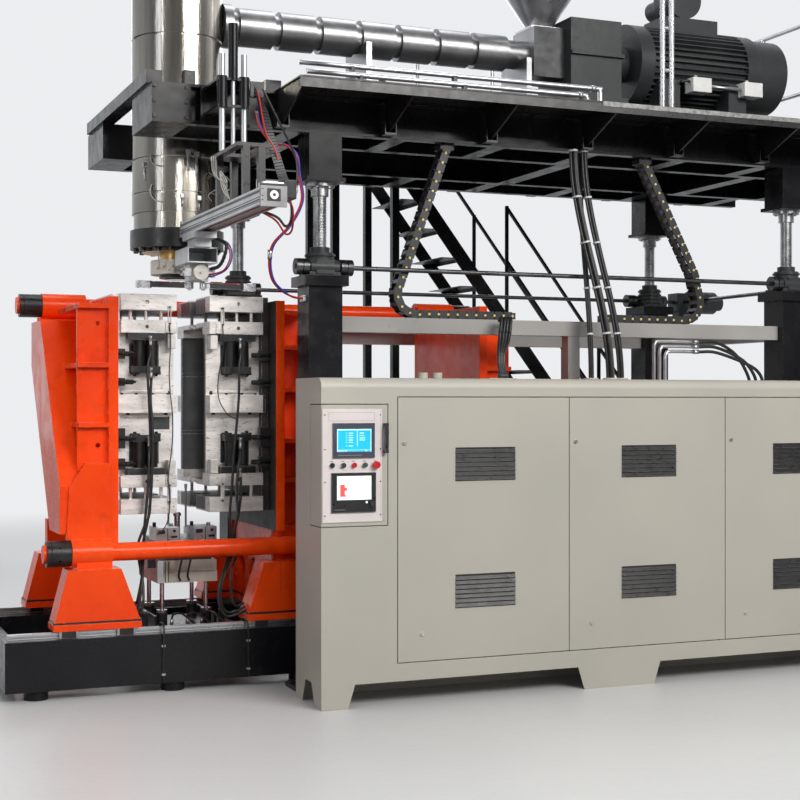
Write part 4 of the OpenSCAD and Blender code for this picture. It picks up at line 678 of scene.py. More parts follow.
LINKS = link_tree()
print("nodes:", len(LINKS.nodes))

# %% [markdown]
# A cable is a ring swept along its line; its ties are short collars at even steps. Both follow one
# line, so a tie can't slip off its cable.

# %% Cable and tie tree
TIE_WIDE = 0.012


def loom_tree():
    tree, given, add = new_tree("tied_cables", Radius="Float", Spacing="Float", Tie_Radius="Float",
                                Jacket="Material", Tie="Material")
    line = add("MeshToCurve", given["Geometry"])
    ring = add("CurvePrimitiveCircle", Resolution=12, Radius=given["Radius"])
    tube = add("CurveToMesh", Curve=line, Profile_Curve=ring, Fill_Caps=True)
    smooth = add("SetShadeSmooth", Geometry=tube, Shade_Smooth=True)
    cable = add("SetMaterial", Geometry=smooth, Material=given["Jacket"])
    even = add("ResampleCurve", mode="LENGTH", Curve=line, Length=given["Spacing"])
    band = add("MeshCylinder", Vertices=14, Radius=given["Tie Radius"], Depth=TIE_WIDE)
    many = repeated(tree, even, band, add("InputTangent"), axis="Z")
    ties = add("SetMaterial", Geometry=many, Material=given["Tie"])
    both = add("JoinGeometry", Geometry=[cable, ties])
    wire(tree, "NodeGroupOutput", add("RealizeInstances", both))
    return tree


LOOM = loom_tree()
print("nodes:", len(LOOM.nodes))


def line_of(*routes):
    """Vertices and edges of one or more open lines."""
    verts, edges = [], []
    for route in routes:
        edges += [(len(verts) + i, len(verts) + i + 1) for i in range(len(route) - 1)]
        verts += [tuple(p) for p in route]
    return verts, edges


def bolts(name, spots, aim, radius, body, look=None, height=None):
    aims = [aim] * len(spots) if isinstance(aim, tuple) else aim
    return grown(name, spots, [], BOLTS, body, aims, Radius=radius, Height=height or radius * 1.3,
                 Finish=look or blackened)


# %% [markdown]
# ## Energy chains
# Two cable chains hang from the platform and land on the front tie rail; each link is two black side
# plates, crossbars and a yellow pin cap. A swept block with a picture of links would be lighter, but
# its edge would look flat. The links run along the same line as the CAD chain, which they replace.

# %% Energy chains
yellow_cap = finish("yellow_cap", (0.75, 0.60, 0.22), (0.62, 0.48, 0.16), (0.4, 0.5), blotch=30)
CHAIN_Y, CHAIN_LOW = -0.93, 2.4103
CHAIN_TOP, CHAIN_TOPS_X = 3.505, (-0.428, 1.092)
LINK_PITCH = 0.066
DECK_UNDER = 3.5347


def bend(centre, start, end, count=10, radius=0.128):
    angles = [math.radians(start + (end - start) * i / count) for i in range(count + 1)]
    return [Vector((centre + radius * math.cos(a), CHAIN_Y, CHAIN_LOW + radius + radius * math.sin(a)))
            for a in angles]


def chain_run(top, knee, arc, end):
    return [Vector((top[0], CHAIN_Y, top[1])), Vector((knee[0], CHAIN_Y, knee[1]))] + arc + [
        Vector((end, CHAIN_Y, CHAIN_LOW))]


runs = [chain_run((CHAIN_TOPS_X[0], CHAIN_TOP), (-0.737, 2.663), bend(-0.65, 170, 270), 0.02),
        chain_run((CHAIN_TOPS_X[1], CHAIN_TOP), (1.5, 2.743), bend(1.418, 12, -90), 0.818)]
chains = grown("cable_chains", *line_of(*runs), LINKS, Pitch=LINK_PITCH, Plate=chain_plastic, Pin=yellow_cap)


def chain_extras(bm):
    for x in CHAIN_TOPS_X:
        box(bm, about(x, 0.05), (-0.98, -0.88), (3.495, DECK_UNDER), bevel=0.003)
    for x in ((-0.13, 0.03), (0.80, 0.95)):
        box(bm, x, (-0.975, -0.885), (2.3833, 2.387))
    for run in runs:
        for dy, r in ((-0.026, 0.010), (-0.004, 0.012), (0.021, 0.009)):
            hose(bm, [p + Vector((0, dy, 0)) for p in run[1:-1]], r, slot=1, sides=8, steps=2)


chains = joined(chains, plain("chain_fittings", chain_extras, [blackened, hose_rubber]))
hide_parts("energy_chains")
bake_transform(chains)
print("chain faces", len(chains.data.polygons))

# %% [markdown]
# ## Cable looms
# Power and signal looms drop from the platform to the cabinet top, tied at even steps; the thickest
# holds a braided hose pair. One thick tube each would do from afar, but here each loom is split into
# its cables round a tied core, along the CAD looms' line.

# %% Cable looms
pale_tie = finish("pale_tie", (0.72, 0.72, 0.70), (0.60, 0.60, 0.58), (0.4, 0.5), blotch=40)
braid = finish("braided_jacket", (0.10, 0.10, 0.10), (0.03, 0.03, 0.03), (0.35, 0.5), blotch=260, grain=400,
               relief=0.4)
CABINET_TOP = 1.9803
LOOM_STEPS = 28
TIE_STEP = 0.27
NO_TIES = 9.0


def cables(name, routes, radius, tie_radius, jacket=hose_rubber, tie=None, spacing=NO_TIES, body=None):
    return grown(name, *line_of(*routes), LOOM, body, Radius=radius, Spacing=spacing, Tie_Radius=tie_radius,
                 Jacket=jacket, Tie=tie or jacket)


def fall(top, low):
    """A line from the deck to the cabinet, upright at both ends."""
    route = []
    for i in range(LOOM_STEPS + 1):
        t = i / LOOM_STEPS
        s = t * t * (3 - 2 * t)
        route.append(Vector((top[0] + (low[0] - top[0]) * s, top[1] + (low[1] - top[1]) * s,
                             DECK_UNDER + (CABINET_TOP - DECK_UNDER) * t)))
    return route


LOOMS = [((0.470, -1.060), (0.660, -1.230), 0.022), ((0.555, -1.060), (0.735, -1.240), 0.016),
         ((0.545, -1.010), (0.560, -1.150), 0.010)]
braided, bare = [], []
for top, low, r in LOOMS:
    for k in range(4):
        turn = k * math.pi / 2
        shift = Vector((r * 0.9 * math.cos(turn), r * 0.9 * math.sin(turn), 0))
        (braided if r == LOOMS[0][2] and k < 2 else bare).append([p + shift for p in fall(top, low)])
looms = cables("cable_bundles", bare, 0.0105, 0.011)
pair = cables("braided_pair", braided, 0.0125, 0.013, braid)
spines = [cables("tied_loom", [fall(top, low)], 0.010, 0.9 * r + 0.0135, tie=pale_tie, spacing=TIE_STEP)
          for top, low, r in LOOMS]
looms = joined(looms, pair, *spines)
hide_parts("cable_looms")
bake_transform(looms)

# %% [markdown]
# A short loom crosses from the tie rail to the cabinet, where each cable enters by a gland. Behind
# the cabinet three oil pipes rise and go on as hoses. All of them are swept along round curves, as a
# bent pipe or a hanging cable really runs.

# %% Short loom and oil lines
starts = mm("-75 -1043 2375, -52 -1045 2370, -30 -1043 2375, -8 -1045 2370")
short = [smooth_route([(x, y, z), (x - 0.012, y - 0.055, z + 0.012), (x - 0.05, y - 0.10, z - 0.12),
                       (x - 0.085 - 0.01 * i, -1.20, 2.13), (x - 0.085 - 0.008 * i, -1.225, 1.9805)], 7)
         for i, (x, y, z) in enumerate(starts)]
cables("short_loom", short, 0.011, 0.0125, spacing=0.16, body="frame")


def gland_plate(bm):
    box(bm, (-0.27, -0.07), (-1.29, -1.165), (CABINET_TOP, 1.988), bevel=0.002)
    for *_, (x, y, _) in short:
        bar(bm, (x, y, 1.987), (x, y, 2.02), 0.017, slot=1, sides=6)
    for _, low, _ in LOOMS:
        bar(bm, (*low, CABINET_TOP), (*low, 1.995), 0.05)


piece("gland_plate", gland_plate, [grey_powder, dark_plastic], "frame")


def oil_lines(bm):
    """Three steel pipes up the cabinet's back, then hoses. Slots: 0 bright, 1 hose."""
    y = -1.075
    for k in range(3):
        x, z = 1.10 + 0.045 * k, 2.255 - 0.035 * k
        hose(bm, [(x, -1.1195, 1.86), (x, -1.09, 1.865), (x, y, 1.90), (x, y, 2.10), (x, y, z - 0.045),
                  (x + 0.012, y, z - 0.012), (x + 0.045, y, z), (1.42, y, z)], 0.0125, sides=12)
        bar(bm, (1.42, y, z), (1.46, y, z), 0.017, sides=6)
        low = 1.90 + 0.055 * k
        hose(bm, [(1.46, y, z), (1.62, y, z - 0.005), (low - 0.12, y, z - 0.09), (low - 0.02, y, 2.02),
                  (low, y, 1.92), (low, -1.09, 1.865), (low, -1.1195, 1.86)], 0.0115, slot=1)


piece("oil_lines", oil_lines, [ground_steel, hose_rubber], "frame")

# %% [markdown]
# ## Mould fittings
# Each mould half carries water hoses with bright crimped ends, slotted locking bars across the ram
# gap, small stop blocks at the parting line and clamp studs. A mirrored half would be less to write,
# but the hoses hang differently on each side, so both are listed. Each half is one object and rides
# with its own platen.

# %% Hoses of the mould halves
HEAD_X = -2.0
PARTING_Y, PLATE_Y = -0.3402, -0.4352
HALVES = {
    "left": dict(
        body="clamp_outer", side=1, ram=-2.305, face=-2.52,
        bars=[(-2.159, 2.335), (-2.16, 1.18)], stops=[(-2.168, 2.18), (-2.168, 1.366)],
        ends=[((-2.29, -0.47, 2.262), 0.085), ((-2.287, -0.47, 2.056), 0.08), ((-2.300, -0.47, 1.615), 0.08)],
        hoses=[mm("-2290 -470 2200, -2297 -500 2150, -2318 -515 2060, -2318 -520 1950, -2307 -500 1850, "
                  "-2298 -500 1600, -2288 -500 1390, -2298 -500 1200, -2318 -500 1060, -2340 -487 950, "
                  "-2352 -487 840, -2360 -560 740, -2383 -600 620, -2405 -600 500, -2430 -580 478"),
               mm("-2287 -470 1990, -2293 -500 1950, -2300 -513 1850, -2290 -518 1700, -2286 -518 1500, "
                  "-2300 -518 1300, -2308 -515 1120, -2345 -500 1020, -2375 -487 920, -2372 -500 820, "
                  "-2362 -560 700, -2366 -600 580, -2385 -600 485"),
               mm("-2300 -470 1550, -2306 -495 1500, -2313 -510 1350, -2326 -510 1170, -2335 -490 1030, "
                  "-2338 -487 900, -2360 -530 720, -2400 -560 550")],
        wires=[mm("-2164 -455 2334, -2155 -452 2220, -2164 -455 2030, -2160 -460 1900, -2146 -462 1770, "
                  "-2142 -455 1620, -2152 -455 1500, -2172 -458 1340, -2160 -455 1240, -2168 -460 1100, "
                  "-2200 -470 1020, -2250 -480 980")]),
    "right": dict(
        body="clamp_inner", side=-1, ram=-1.695, face=-1.48,
        bars=[(-1.804, 2.335), (-1.805, 1.18)], stops=[(-1.886, 2.18), (-1.884, 1.366)],
        ends=[((-1.692, -0.47, 2.255), 0.085), ((-1.692, -0.47, 1.60), 0.08), ((-1.692, -0.47, 1.40), 0.07)],
        hoses=[mm("-1692 -470 2190, -1697 -495 2140, -1711 -505 2050, -1712 -505 1880, -1725 -505 1710, "
                  "-1747 -510 1500, -1758 -510 1320, -1768 -510 1200, -1776 -510 1080, -1765 -487 960, "
                  "-1775 -487 840, -1830 -560 740, -1872 -600 640, -1875 -610 530, -1825 -610 452, "
                  "-1745 -610 462, -1690 -600 482"),
               mm("-1692 -470 1530, -1702 -495 1480, -1722 -515 1380, -1732 -520 1250, -1722 -515 1100, "
                  "-1745 -487 960, -1755 -487 840, -1810 -550 740, -1852 -580 640, -1852 -580 530, "
                  "-1812 -580 470, -1750 -580 475, -1690 -570 500"),
               mm("-1692 -470 1340, -1695 -490 1310, -1698 -500 1220, -1710 -500 1120, -1735 -487 980, "
                  "-1725 -487 840, -1775 -540 740, -1782 -560 660, -1775 -560 550, -1740 -550 500, "
                  "-1690 -540 520")],
        wires=[mm("-1807 -455 2333, -1804 -456 2180, -1837 -460 2000, -1836 -460 1860, -1785 -470 1760, "
                  "-1728 -490 1722")]),
}
print("hoses:", sum(len(half["hoses"]) for half in HALVES.values()))

# %% [markdown]
# The same function builds both halves from their lists, and bolts go on as points with an aim.

# %% Mould halves
BAR_Y = (-0.447, -0.4353)
WATER_HOSE, SENSOR_WIRE = 0.0088, 0.0038


def half_fittings(bm, half):
    """Slots: 0 bright metal, 1 black steel, 2 hose rubber, 3 thin wire, 4 pale bar."""
    way = half["side"]
    for x, z in half["bars"]:
        for dx in (-0.011, 0.006):
            box(bm, (x + dx, x + dx + 0.005), BAR_Y, (z, z + 0.12), slot=4, bevel=0.001)
        for dz in (0, 0.108):
            box(bm, about(x, 0.011), BAR_Y, (z + dz, z + dz + 0.012), slot=4, bevel=0.001)
            bar(bm, (x, BAR_Y[1], z + dz + 0.006), (x, -0.456, z + dz + 0.006), 0.006, slot=1, sides=8)
    for x, z in half["stops"]:
        box(bm, (x, x + 0.05), (-0.44, -0.36), (z, z + 0.09), slot=4, bevel=0.003)
        box(bm, (x + 0.004, x + 0.046), (-0.36, -0.3398), (z + 0.02, z + 0.07))
        tip = x + 0.05 if way < 0 else x
        bar(bm, (x + 0.025, -0.40, z + 0.052), (tip + way * 0.001, -0.40, z + 0.052), 0.006, sides=10)
    for (x, y, z), length in half["ends"]:
        bar(bm, (x, y, z), (x, y, z - 0.022), 0.013, sides=6)
        bar(bm, (x, y, z - 0.022), (x, y, z - length), 0.0105, sides=14)
        bar(bm, (x, y, z - 0.01), (x, -0.425, z - 0.01), 0.008, sides=10)
    for route in half["hoses"]:
        hose(bm, route, WATER_HOSE, slot=2)
    for route in half["wires"]:
        hose(bm, route, SENSOR_WIRE, slot=3, sides=8)
    face = half["face"]
    for z in (2.1425, 1.9625, 1.60, 1.436):
        for y in (-0.4625, 0.4625):
            bar(bm, (face + way * 0.002, y, z), (face + way * 0.135, y, z), 0.0085, slot=1, sides=12)
            bar(bm, (face + way * 0.0703, y, z), (face + way * 0.092, y, z), 0.018, slot=1, sides=6)
        box(bm, sorted((face + way * 0.03, face + way * 0.125)), (-0.449, -0.428), about(z, 0.016),
            slot=1, bevel=0.003)


def bolt_spots(half):
    down = [(half["ram"] + dx, y, 2.019) for dx in (-0.085, -0.05, 0.05, 0.085)
            for y in (-0.42, -0.36, 0.36, 0.42)]
    up = [(x, y, 1.623) for x, y, _ in down]
    front = [(HEAD_X - half["side"] * dx, PARTING_Y, z)
             for z, row in ((1.894, (0.145, 0.25, 0.355, 0.45)), (1.752, (0.16, 0.41))) for dx in row]
    return down, up, front


pale_steel = finish("pale_steel", (0.80, 0.77, 0.74), (0.62, 0.60, 0.57), (0.3, 0.45), metal=0.3, blotch=20)
name_plate = finish("blank_plate", (0.045, 0.05, 0.055), (0.03, 0.033, 0.037), (0.35, 0.5), blotch=30)
for side, half in HALVES.items():
    piece(side + "_mould_fittings", lambda bm: half_fittings(bm, half),
          [ground_steel, blackened, hose_rubber, hose_rubber, pale_steel], half["body"])
    down, up, front = bolt_spots(half)
    aims = [(0, 0, -1)] * len(down) + [(0, 0, 1)] * len(up)
    bolts(side + "_ram_bolts", down + up, aims, 0.009, half["body"], height=0.016)
    bolts(side + "_mould_screws", front, (0, -1, 0), 0.010, half["body"])
    # Flat dark discs at the plate centres stand for the holes there: painted shade.
    hole_shades = [(HEAD_X - half["side"] * 0.305, PLATE_Y, z) for z in (2.32, 1.322)]
    bolts(side + "_plate_plugs", hole_shades, (0, -1, 0), 0.009, half["body"], dark_steel, 0.004)

piece("mould_plate", lambda bm: box(bm, (-2.254, -2.136), (-0.344, PARTING_Y), (1.655, 1.739), bevel=0.001),
      [name_plate], "clamp_outer")

# %% [markdown]
# ## Blow station
# Below the moulds stands the blow station: a cream valve box on guide rods, two stretching blocks
# with clamp screws, air hoses to the blow pin. It could be one object, but blocks and their screws
# slide with the spreaders and the box lifts, so each moving part gets an object of its own.

# %% Blow station fittings
TABLE_Y, BLOCK_Y = -0.2752, -0.262
AIR_HOSE = 0.007


def spreader_fittings(bm, x0, x1):
    middle = (x0 + x1) / 2
    box(bm, about(middle, 0.0025), (-0.2635, BLOCK_Y), (0.918, 1.001), slot=1)
    box(bm, (x0 + 0.012, x0 + 0.055), (-0.285, BLOCK_Y), (0.965, 0.99), slot=1, bevel=0.003)
    box(bm, (x1 - 0.055, x1 - 0.015), (-0.270, BLOCK_Y), (0.935, 0.95), slot=1, bevel=0.002)
    bar(bm, (x1 - 0.035, BLOCK_Y, 0.982), (x1 - 0.035, -0.279, 0.982), 0.010, slot=1, sides=6)
    bar(bm, (x0 + 0.02, -0.12, 1.003), (x0 + 0.02, -0.12, 1.03), 0.012, slot=1, sides=6)
    bar(bm, (x1 - 0.02, -0.12, 1.003), (x1 - 0.02, -0.12, 1.02), 0.014, sides=6)


for side, x0, x1 in (("left", -2.205, -2.05), ("right", -1.95, -1.795)):
    piece(side + "_block_screws", lambda bm: spreader_fittings(bm, x0, x1), [ground_steel, blackened],
          side + "_spreader")


def table_fittings(bm):
    """Slots: 0 bright, 1 black, 2 hose, 3 cream."""
    box(bm, (-2.202, -2.16), (-0.2835, TABLE_Y), (0.642, 0.784), bevel=0.002)
    for x in (-2.148, -2.128):
        box(bm, (x, x + 0.004), (-0.2775, TABLE_Y), (0.645, 0.783), slot=1)
    box(bm, (-2.118, -1.80), (-0.279, TABLE_Y), (0.713, 0.783), slot=3, bevel=0.002)
    box(bm, (-2.118, -1.80), (-0.2775, TABLE_Y), (0.646, 0.703), slot=3, bevel=0.001)
    for x in (-2.03, -1.97):
        bar(bm, (x, TABLE_Y, 0.885), (x, -0.30, 0.885), 0.013, sides=6)
        hose(bm, [(x, -0.298, 0.885), (x, -0.33, 0.88), (x - 0.02, -0.35, 0.82), (x - 0.04, -0.33, 0.70),
                  (x - 0.02, -0.29, 0.655)], AIR_HOSE, slot=2, sides=8)
    for x in (-2.10, -1.90):
        box(bm, about(x, 0.03), (-0.297, TABLE_Y), (0.82, 0.875), slot=1, bevel=0.003)
    hose(bm, mm("-2050 -290 800, -2100 -330 860, -2200 -340 900, -2250 -300 880, -2245.2 -240 840"),
         AIR_HOSE, slot=2, sides=8)
    bar(bm, (-2.2452, -0.24, 0.80), (-2.2452, -0.24, 0.87), 0.012, sides=6)
    box(bm, (-2.258, -2.2052), (-0.255, -0.225), (0.74, 0.80), slot=1, bevel=0.002)


cream_box = finish("cream_box", **CREAM)
piece("blow_table_fittings", table_fittings, [ground_steel, blackened, hose_rubber, cream_box], "blow_head")

# %% [markdown]
# The stand under it carries elbows and two thin air lines that run down the base.

# %% Blow stand
def stand_fittings(bm):
    """Slots: 0 bright, 1 black, 2 hose."""
    for x in (-2.26, -1.74):
        box(bm, about(x, 0.018), (-0.20, -0.16), (0.355, 0.44), slot=1, bevel=0.003)
        bar(bm, (x, -0.18, 0.44), (x, -0.18, 0.455), 0.014, sides=10)
    for x, y in ((-2.10, -0.26), (-1.90, -0.27), (-2.0, -0.28)):
        bar(bm, (x, y, 0.3553), (x, y, 0.40), 0.012, sides=6)
        hose(bm, [(x, y, 0.40), (x + 0.01, y - 0.01, 0.43), (x + 0.05, y - 0.06, 0.44),
                  (x + 0.10, y - 0.11, 0.40), (x + 0.12, y - 0.15, 0.379)], AIR_HOSE, slot=2, sides=8)
    hose(bm, mm("-2220 -400 379, -2240 -500 377, -2250 -562 420, -2251 -640 430, -2254 -689 390, "
                "-2258 -684 200, -2256 -684 65"), 0.006, slot=2, sides=8)
    hose(bm, mm("-1740 -420 379, -1720 -500 377, -1708 -562 420, -1706 -640 430, -1705 -689 390, "
                "-1702 -684 200, -1700 -684 65"), 0.005, slot=2, sides=8)
    for x in (-2.257, -1.702):
        for z in ((0.29, 0.302), (0.11, 0.122)):
            box(bm, about(x, 0.012), (-0.692, -0.6752), z)


piece("blow_stand_fittings", stand_fittings, [ground_steel, blackened, hose_rubber], "frame")

# %% [markdown]
# ## Control panel
# The panel carries two lit screens, a row of buttons with blank labels, and side screws. A picture
# could hold all of it, but flat blocks stay sharp and need none: the screens glow by themselves, and
# their rows are plain bars without any lettering. Everything rides on the control door.

# %% Screen finishes
def lit(name, colour, glow):
    made = finish(name, colour, tuple(c * 0.85 for c in colour), (0.12, 0.2), blotch=8)
    tree = made.node_tree
    pale = tuple(min(1.0, c * 1.15) for c in colour)
    feed(tree, tree.nodes["Principled BSDF"], Emission_Strength=glow,
         Emission_Color=mixed(tree, noise(tree, 6.0), colour, pale))
    return made


SCREEN = [lit("screen_blue", (0.02, 0.45, 0.86), 0.55), lit("screen_rows", (0.55, 0.86, 0.95), 0.7),
          lit("screen_white", (0.72, 0.90, 0.90), 0.75), lit("screen_red", (0.85, 0.10, 0.09), 0.6),
          lit("screen_yellow", (0.85, 0.82, 0.30), 0.7),
          finish("label_grey", (0.30, 0.27, 0.27), (0.24, 0.22, 0.22)),
          lit("small_lamp", (0.85, 0.88, 1.0), 1.2)]
print("screen finishes:", len(SCREEN))

# %% [markdown]
# The marks are placed in small steps counted from the panel's upper left corner, like the squares of
# graph paper laid over the panel.

# %% Screens and labels
STEP_X, STEP_Z = 0.000495, 0.000457
CORNER, CORNER_STEPS = (-1.52, 1.792), (160, 115)
GLASS_Y, SHOWN_Y, SHEET_Y, SHEET_DEEP = -1.6088, -1.6092, -1.6005, 0.0007


def panel_marks(bm):
    """Slots: 0 blue screen, 1 rows, 2 white screen, 3 red, 4 yellow, 5 label grey, 6 lamp."""
    def mark(x0, x1, z0, z1, slot, y=SHOWN_Y, deep=0.0008):
        left, right = (CORNER[0] + (x - CORNER_STEPS[0]) * STEP_X for x in (x0, x1))
        top, low = (CORNER[1] - (z - CORNER_STEPS[1]) * STEP_Z for z in (z0, z1))
        box(bm, (left, right), (y, y + deep), (low, top), slot)

    mark(341, 783, 377, 671, 0, GLASS_Y)
    for edges in ((341, 783, 377, 392), (341, 352, 392, 671), (772, 783, 392, 671), (598, 604, 400, 600),
                  (341, 783, 648, 652)):
        mark(*edges, 1)
    for z in (425, 455, 485, 515, 545, 592):
        mark(455, 470, z, z + 7, 1)
        mark(490, 545, z, z + 9, 1)
    for z, x1 in ((425, 690), (458, 690), (488, 702), (515, 700)):
        mark(630, x1, z, z + 9, 1)
    for x0 in (360, 400, 440, 700):
        mark(x0, x0 + 30, 655, 665, 1)
    mark(341, 783, 990, 1300, 2, GLASS_Y)
    for edges in ((380, 440, 1100, 1258), (440, 468, 1140, 1182), (440, 456, 1236, 1258)):
        mark(*edges, 3)
    mark(705, 765, 1018, 1044, 4)
    for x0, z in ((525, 1065), (575, 1070), (585, 1100)):
        mark(x0, x0 + 18, z, z + 7, 0)
    for i in range(5):
        mark(262 + 139 * i, 300 + 139 * i, 792, 803, 5, -1.6007, 0.0009)
    for edges in ((240, 835, 160, 163), (240, 835, 268, 271), (240, 243, 160, 271), (832, 835, 160, 271)):
        mark(*edges, 5, SHEET_Y, SHEET_DEEP)
    for edges in ((350, 660, 715, 722), (305, 440, 1425, 1431)):
        mark(*edges, 5, -1.6124, SHEET_DEEP)
    mark(912, 915, 130, 1560, 5, SHEET_Y, SHEET_DEEP)
    bar(bm, (-1.2438, -1.6118, 1.2345), (-1.2438, -1.615, 1.2345), 0.006, slot=6, sides=12)


piece("panel_marks", panel_marks, SCREEN, "control_leaf")
screws = [(x, -1.6002, z) for x in (-1.5045, -1.1505) for z in (1.757, 1.552, 1.357, 1.157)]
bolts("panel_screws", screws, (0, -1, 0), 0.0032, "control_leaf", blackened, 0.002)

# %% [markdown]
# ## Take-out fittings
# The take-out arm hangs under the platform: a belt motor at its front end, a flat cable chain down
# from the bracket, red and blue air hoses, and loose pale sensor wires between the legs. Rigid hoses
# would tear off when the arm is lifted, so the flat chain and the column hoses are tied to no body.

# %% Belt axis
RED_HOSE = finish("red_hose", (0.55, 0.02, 0.015), (0.42, 0.015, 0.012), (0.3, 0.4), blotch=60)
BLUE_HOSE = finish("blue_hose", (0.06, 0.07, 0.50), (0.04, 0.05, 0.36), (0.3, 0.4), blotch=60)
PALE_WIRE = finish("pale_wire", (0.62, 0.60, 0.55), (0.50, 0.48, 0.44), (0.4, 0.5), blotch=60)


def axis_fittings(bm):
    """Slots: 0 bright, 1 black, 2 black hose, 3 pale wire, 4 red, 5 blue."""
    box(bm, (-1.9448, -1.872), (-2.175, -2.06), (2.945, 3.05), slot=1, bevel=0.006)
    bar(bm, (-1.873, -2.118, 2.998), (-1.862, -2.118, 2.998), 0.038, sides=20)
    bar(bm, (-1.863, -2.118, 2.998), (-1.852, -2.118, 2.998), 0.014, slot=1, sides=12)
    box(bm, (-2.072, -1.950), (-2.195, -2.11), (3.0052, 3.03), bevel=0.004)
    # A thin black sheet on the end face stands for the belt opening: painted shade.
    box(bm, (-2.048, -1.972), (-2.2025, -2.2003), (2.925, 2.992), slot=1)
    bar(bm, (-2.010, -2.2027, 2.958), (-2.010, -2.206, 2.958), 0.024, sides=20)
    bar(bm, (-2.010, -2.2062, 2.958), (-2.010, -2.208, 2.958), 0.009, slot=1, sides=12)
    box(bm, (-1.9448, -1.915), (-1.20, -0.80), (2.925, 2.985), slot=1, bevel=0.003)
    box(bm, (-1.9448, -1.925), (-2.03, -1.55), (2.93, 2.97), slot=1, bevel=0.003)
    hose(bm, mm("-1900 -2060 2975, -1840 -1980 2940, -1815 -1900 2860, -1815 -1800 2840, -1840 -1720 2900, "
                "-1918 -1620 2950"), 0.008, slot=2, sides=8)
    hose(bm, mm("-1910 -2060 2960, -1830 -1970 2930, -1800 -1880 2820, -1800 -1760 2800, -1830 -1660 2890, "
                "-1914 -1580 2955"), 0.006, slot=4, sides=8)
    for k in range(3):
        dx = 0.012 * k
        hose(bm, [(-2.168 + dx, -1.50, 3.262), (-2.155 + dx, -1.49, 3.17 - dx), (-2.10 + dx, -1.50, 3.12),
                  (-2.11, -1.48, 3.16 + dx), (-2.08 - dx, -1.50, 3.08), (-2.05, -1.47, 3.02)], 0.0035,
             slot=3, sides=6)


piece("takeout_axis_fittings", axis_fittings,
      [ground_steel, blackened, hose_rubber, PALE_WIRE, RED_HOSE, BLUE_HOSE], "takeout_lift")

# %% [markdown]
# The flat chain is a row of thin links across its line, with a black core inside and an air hose on
# each side.

# %% Take-out chain
route = smooth_route(mm("-1786 -1130 3760, -1762 -1200 3617, -1760 -1320 3453, -1785 -1520 3296, "
                        "-1835 -1800 3130, -1885 -2000 3062"), 7)
flat_chain = cables("takeout_chain", [route], 0.006, 0.007)


def chain_plates(bm):
    """Flat links, then the air hoses beside them. Slots: 0 black, 1 red, 2 blue, 3 black hose."""
    for one, two in zip(route, route[1:]):
        size = Matrix.Diagonal((0.052, 0.016, (two - one).length * 0.82, 1))
        bmesh.ops.create_cube(bm, size=1, matrix=upright(one, two) @ size)
    hose(bm, mm("-1800 -1220 3720, -1810 -1400 3450, -1790 -1520 3330, -1800 -1660 3200, -1830 -1840 3060, "
                "-1890 -2050 3000"), 0.006, slot=1, sides=8)
    hose(bm, mm("-1770 -1220 3740, -1700 -1460 3420, -1665 -1550 3260, -1720 -1720 3100, -1800 -1920 3020, "
                "-1890 -2065 3020"), 0.007, slot=3, sides=8)


plates = plain("chain_plates", chain_plates, [chain_plastic, RED_HOSE, BLUE_HOSE, hose_rubber])
flat_chain = joined(flat_chain, plates)
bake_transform(flat_chain)

# %% [markdown]
# A red and a blue hose fall from the bracket to the column in slack bows, clipped at their lower end.

# %% Column hoses
def column_hoses(bm):
    """Slots: 0 red, 1 blue, 2 bright."""
    for k in (0, 1):
        d = 0.011 * k
        hose(bm, [(-1.79 + d, -1.1365, 3.62), (-1.80 + d, -1.25, 3.50), (-1.76 + d, -1.38, 3.385),
                  (-1.70 + d, -1.44, 3.37), (-1.640 + d, -1.46, 3.31), (-1.625 + d, -1.46, 3.20),
                  (-1.60 + d, -1.45, 3.045), (-1.665 + d, -1.42, 2.896), (-1.748 + d, -1.35, 2.785),
                  (-1.750 + d, -1.28, 2.676), (-1.703 + d, -1.20, 2.579), (-1.616 + d, -1.12, 2.522),
                  (-1.511, -1.03 + d, 2.494), (-1.414, -0.97 + d, 2.49)], 0.0062, slot=k, sides=8)
    bar(bm, (-1.756, -1.32, 2.75), (-1.751, -1.30, 2.70), 0.0145, slot=2, sides=12)


column_pair = plain("column_hose_pair", column_hoses, [RED_HOSE, BLUE_HOSE, ground_steel])
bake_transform(column_pair)
piece("column_hose_clip", lambda bm: box(bm, (-1.4365, -1.4127), (-1.0, -0.93), (2.47, 2.51), bevel=0.003),
      [ground_steel], "frame")

# %% [markdown]
# Short hoses loop from the carriage to the valve blocks on the arm, and each jaw has its own screws
# and a thin red line that ride with it.

# %% Arm and jaws
def arm_hoses(bm):
    """Slots: 0 black corrugated, 1 red, 2 blue, 3 bright."""
    hose(bm, mm("-1925 -660 2890, -1885 -720 2860, -1880 -800 2820, -1890 -760 2740, -1900 -680 2700, "
                "-1930 -620 2690"), 0.010, ripple=0.003)
    for k in (0, 1):
        d = 0.012 * k
        hose(bm, [(-1.935, -0.64, 2.885), (-1.87 + d, -0.74, 2.85), (-1.85 + d, -0.78, 2.76),
                  (-1.87 + d, -0.72, 2.68), (-1.92, -0.65, 2.655 - d), (-1.949, -0.60, 2.655 - d)], 0.005,
             slot=1 + k, sides=8)
    box(bm, (-1.9495, -1.90), (-0.61, -0.57), (2.635, 2.70), slot=3, bevel=0.004)
    box(bm, (-2.10, -2.0505), (-0.60, -0.55), (2.64, 2.70), slot=3, bevel=0.004)
    for z in (2.65, 2.685):
        bar(bm, (-2.10, -0.575, z), (-2.118, -0.575, z), 0.008, slot=3, sides=6)
    bar(bm, (-2.0, -0.64, 2.665), (-2.0, -0.655, 2.665), 0.010, slot=3, sides=6)


piece("arm_hoses", arm_hoses, [hose_rubber, RED_HOSE, BLUE_HOSE, ground_steel], "takeout_arm")


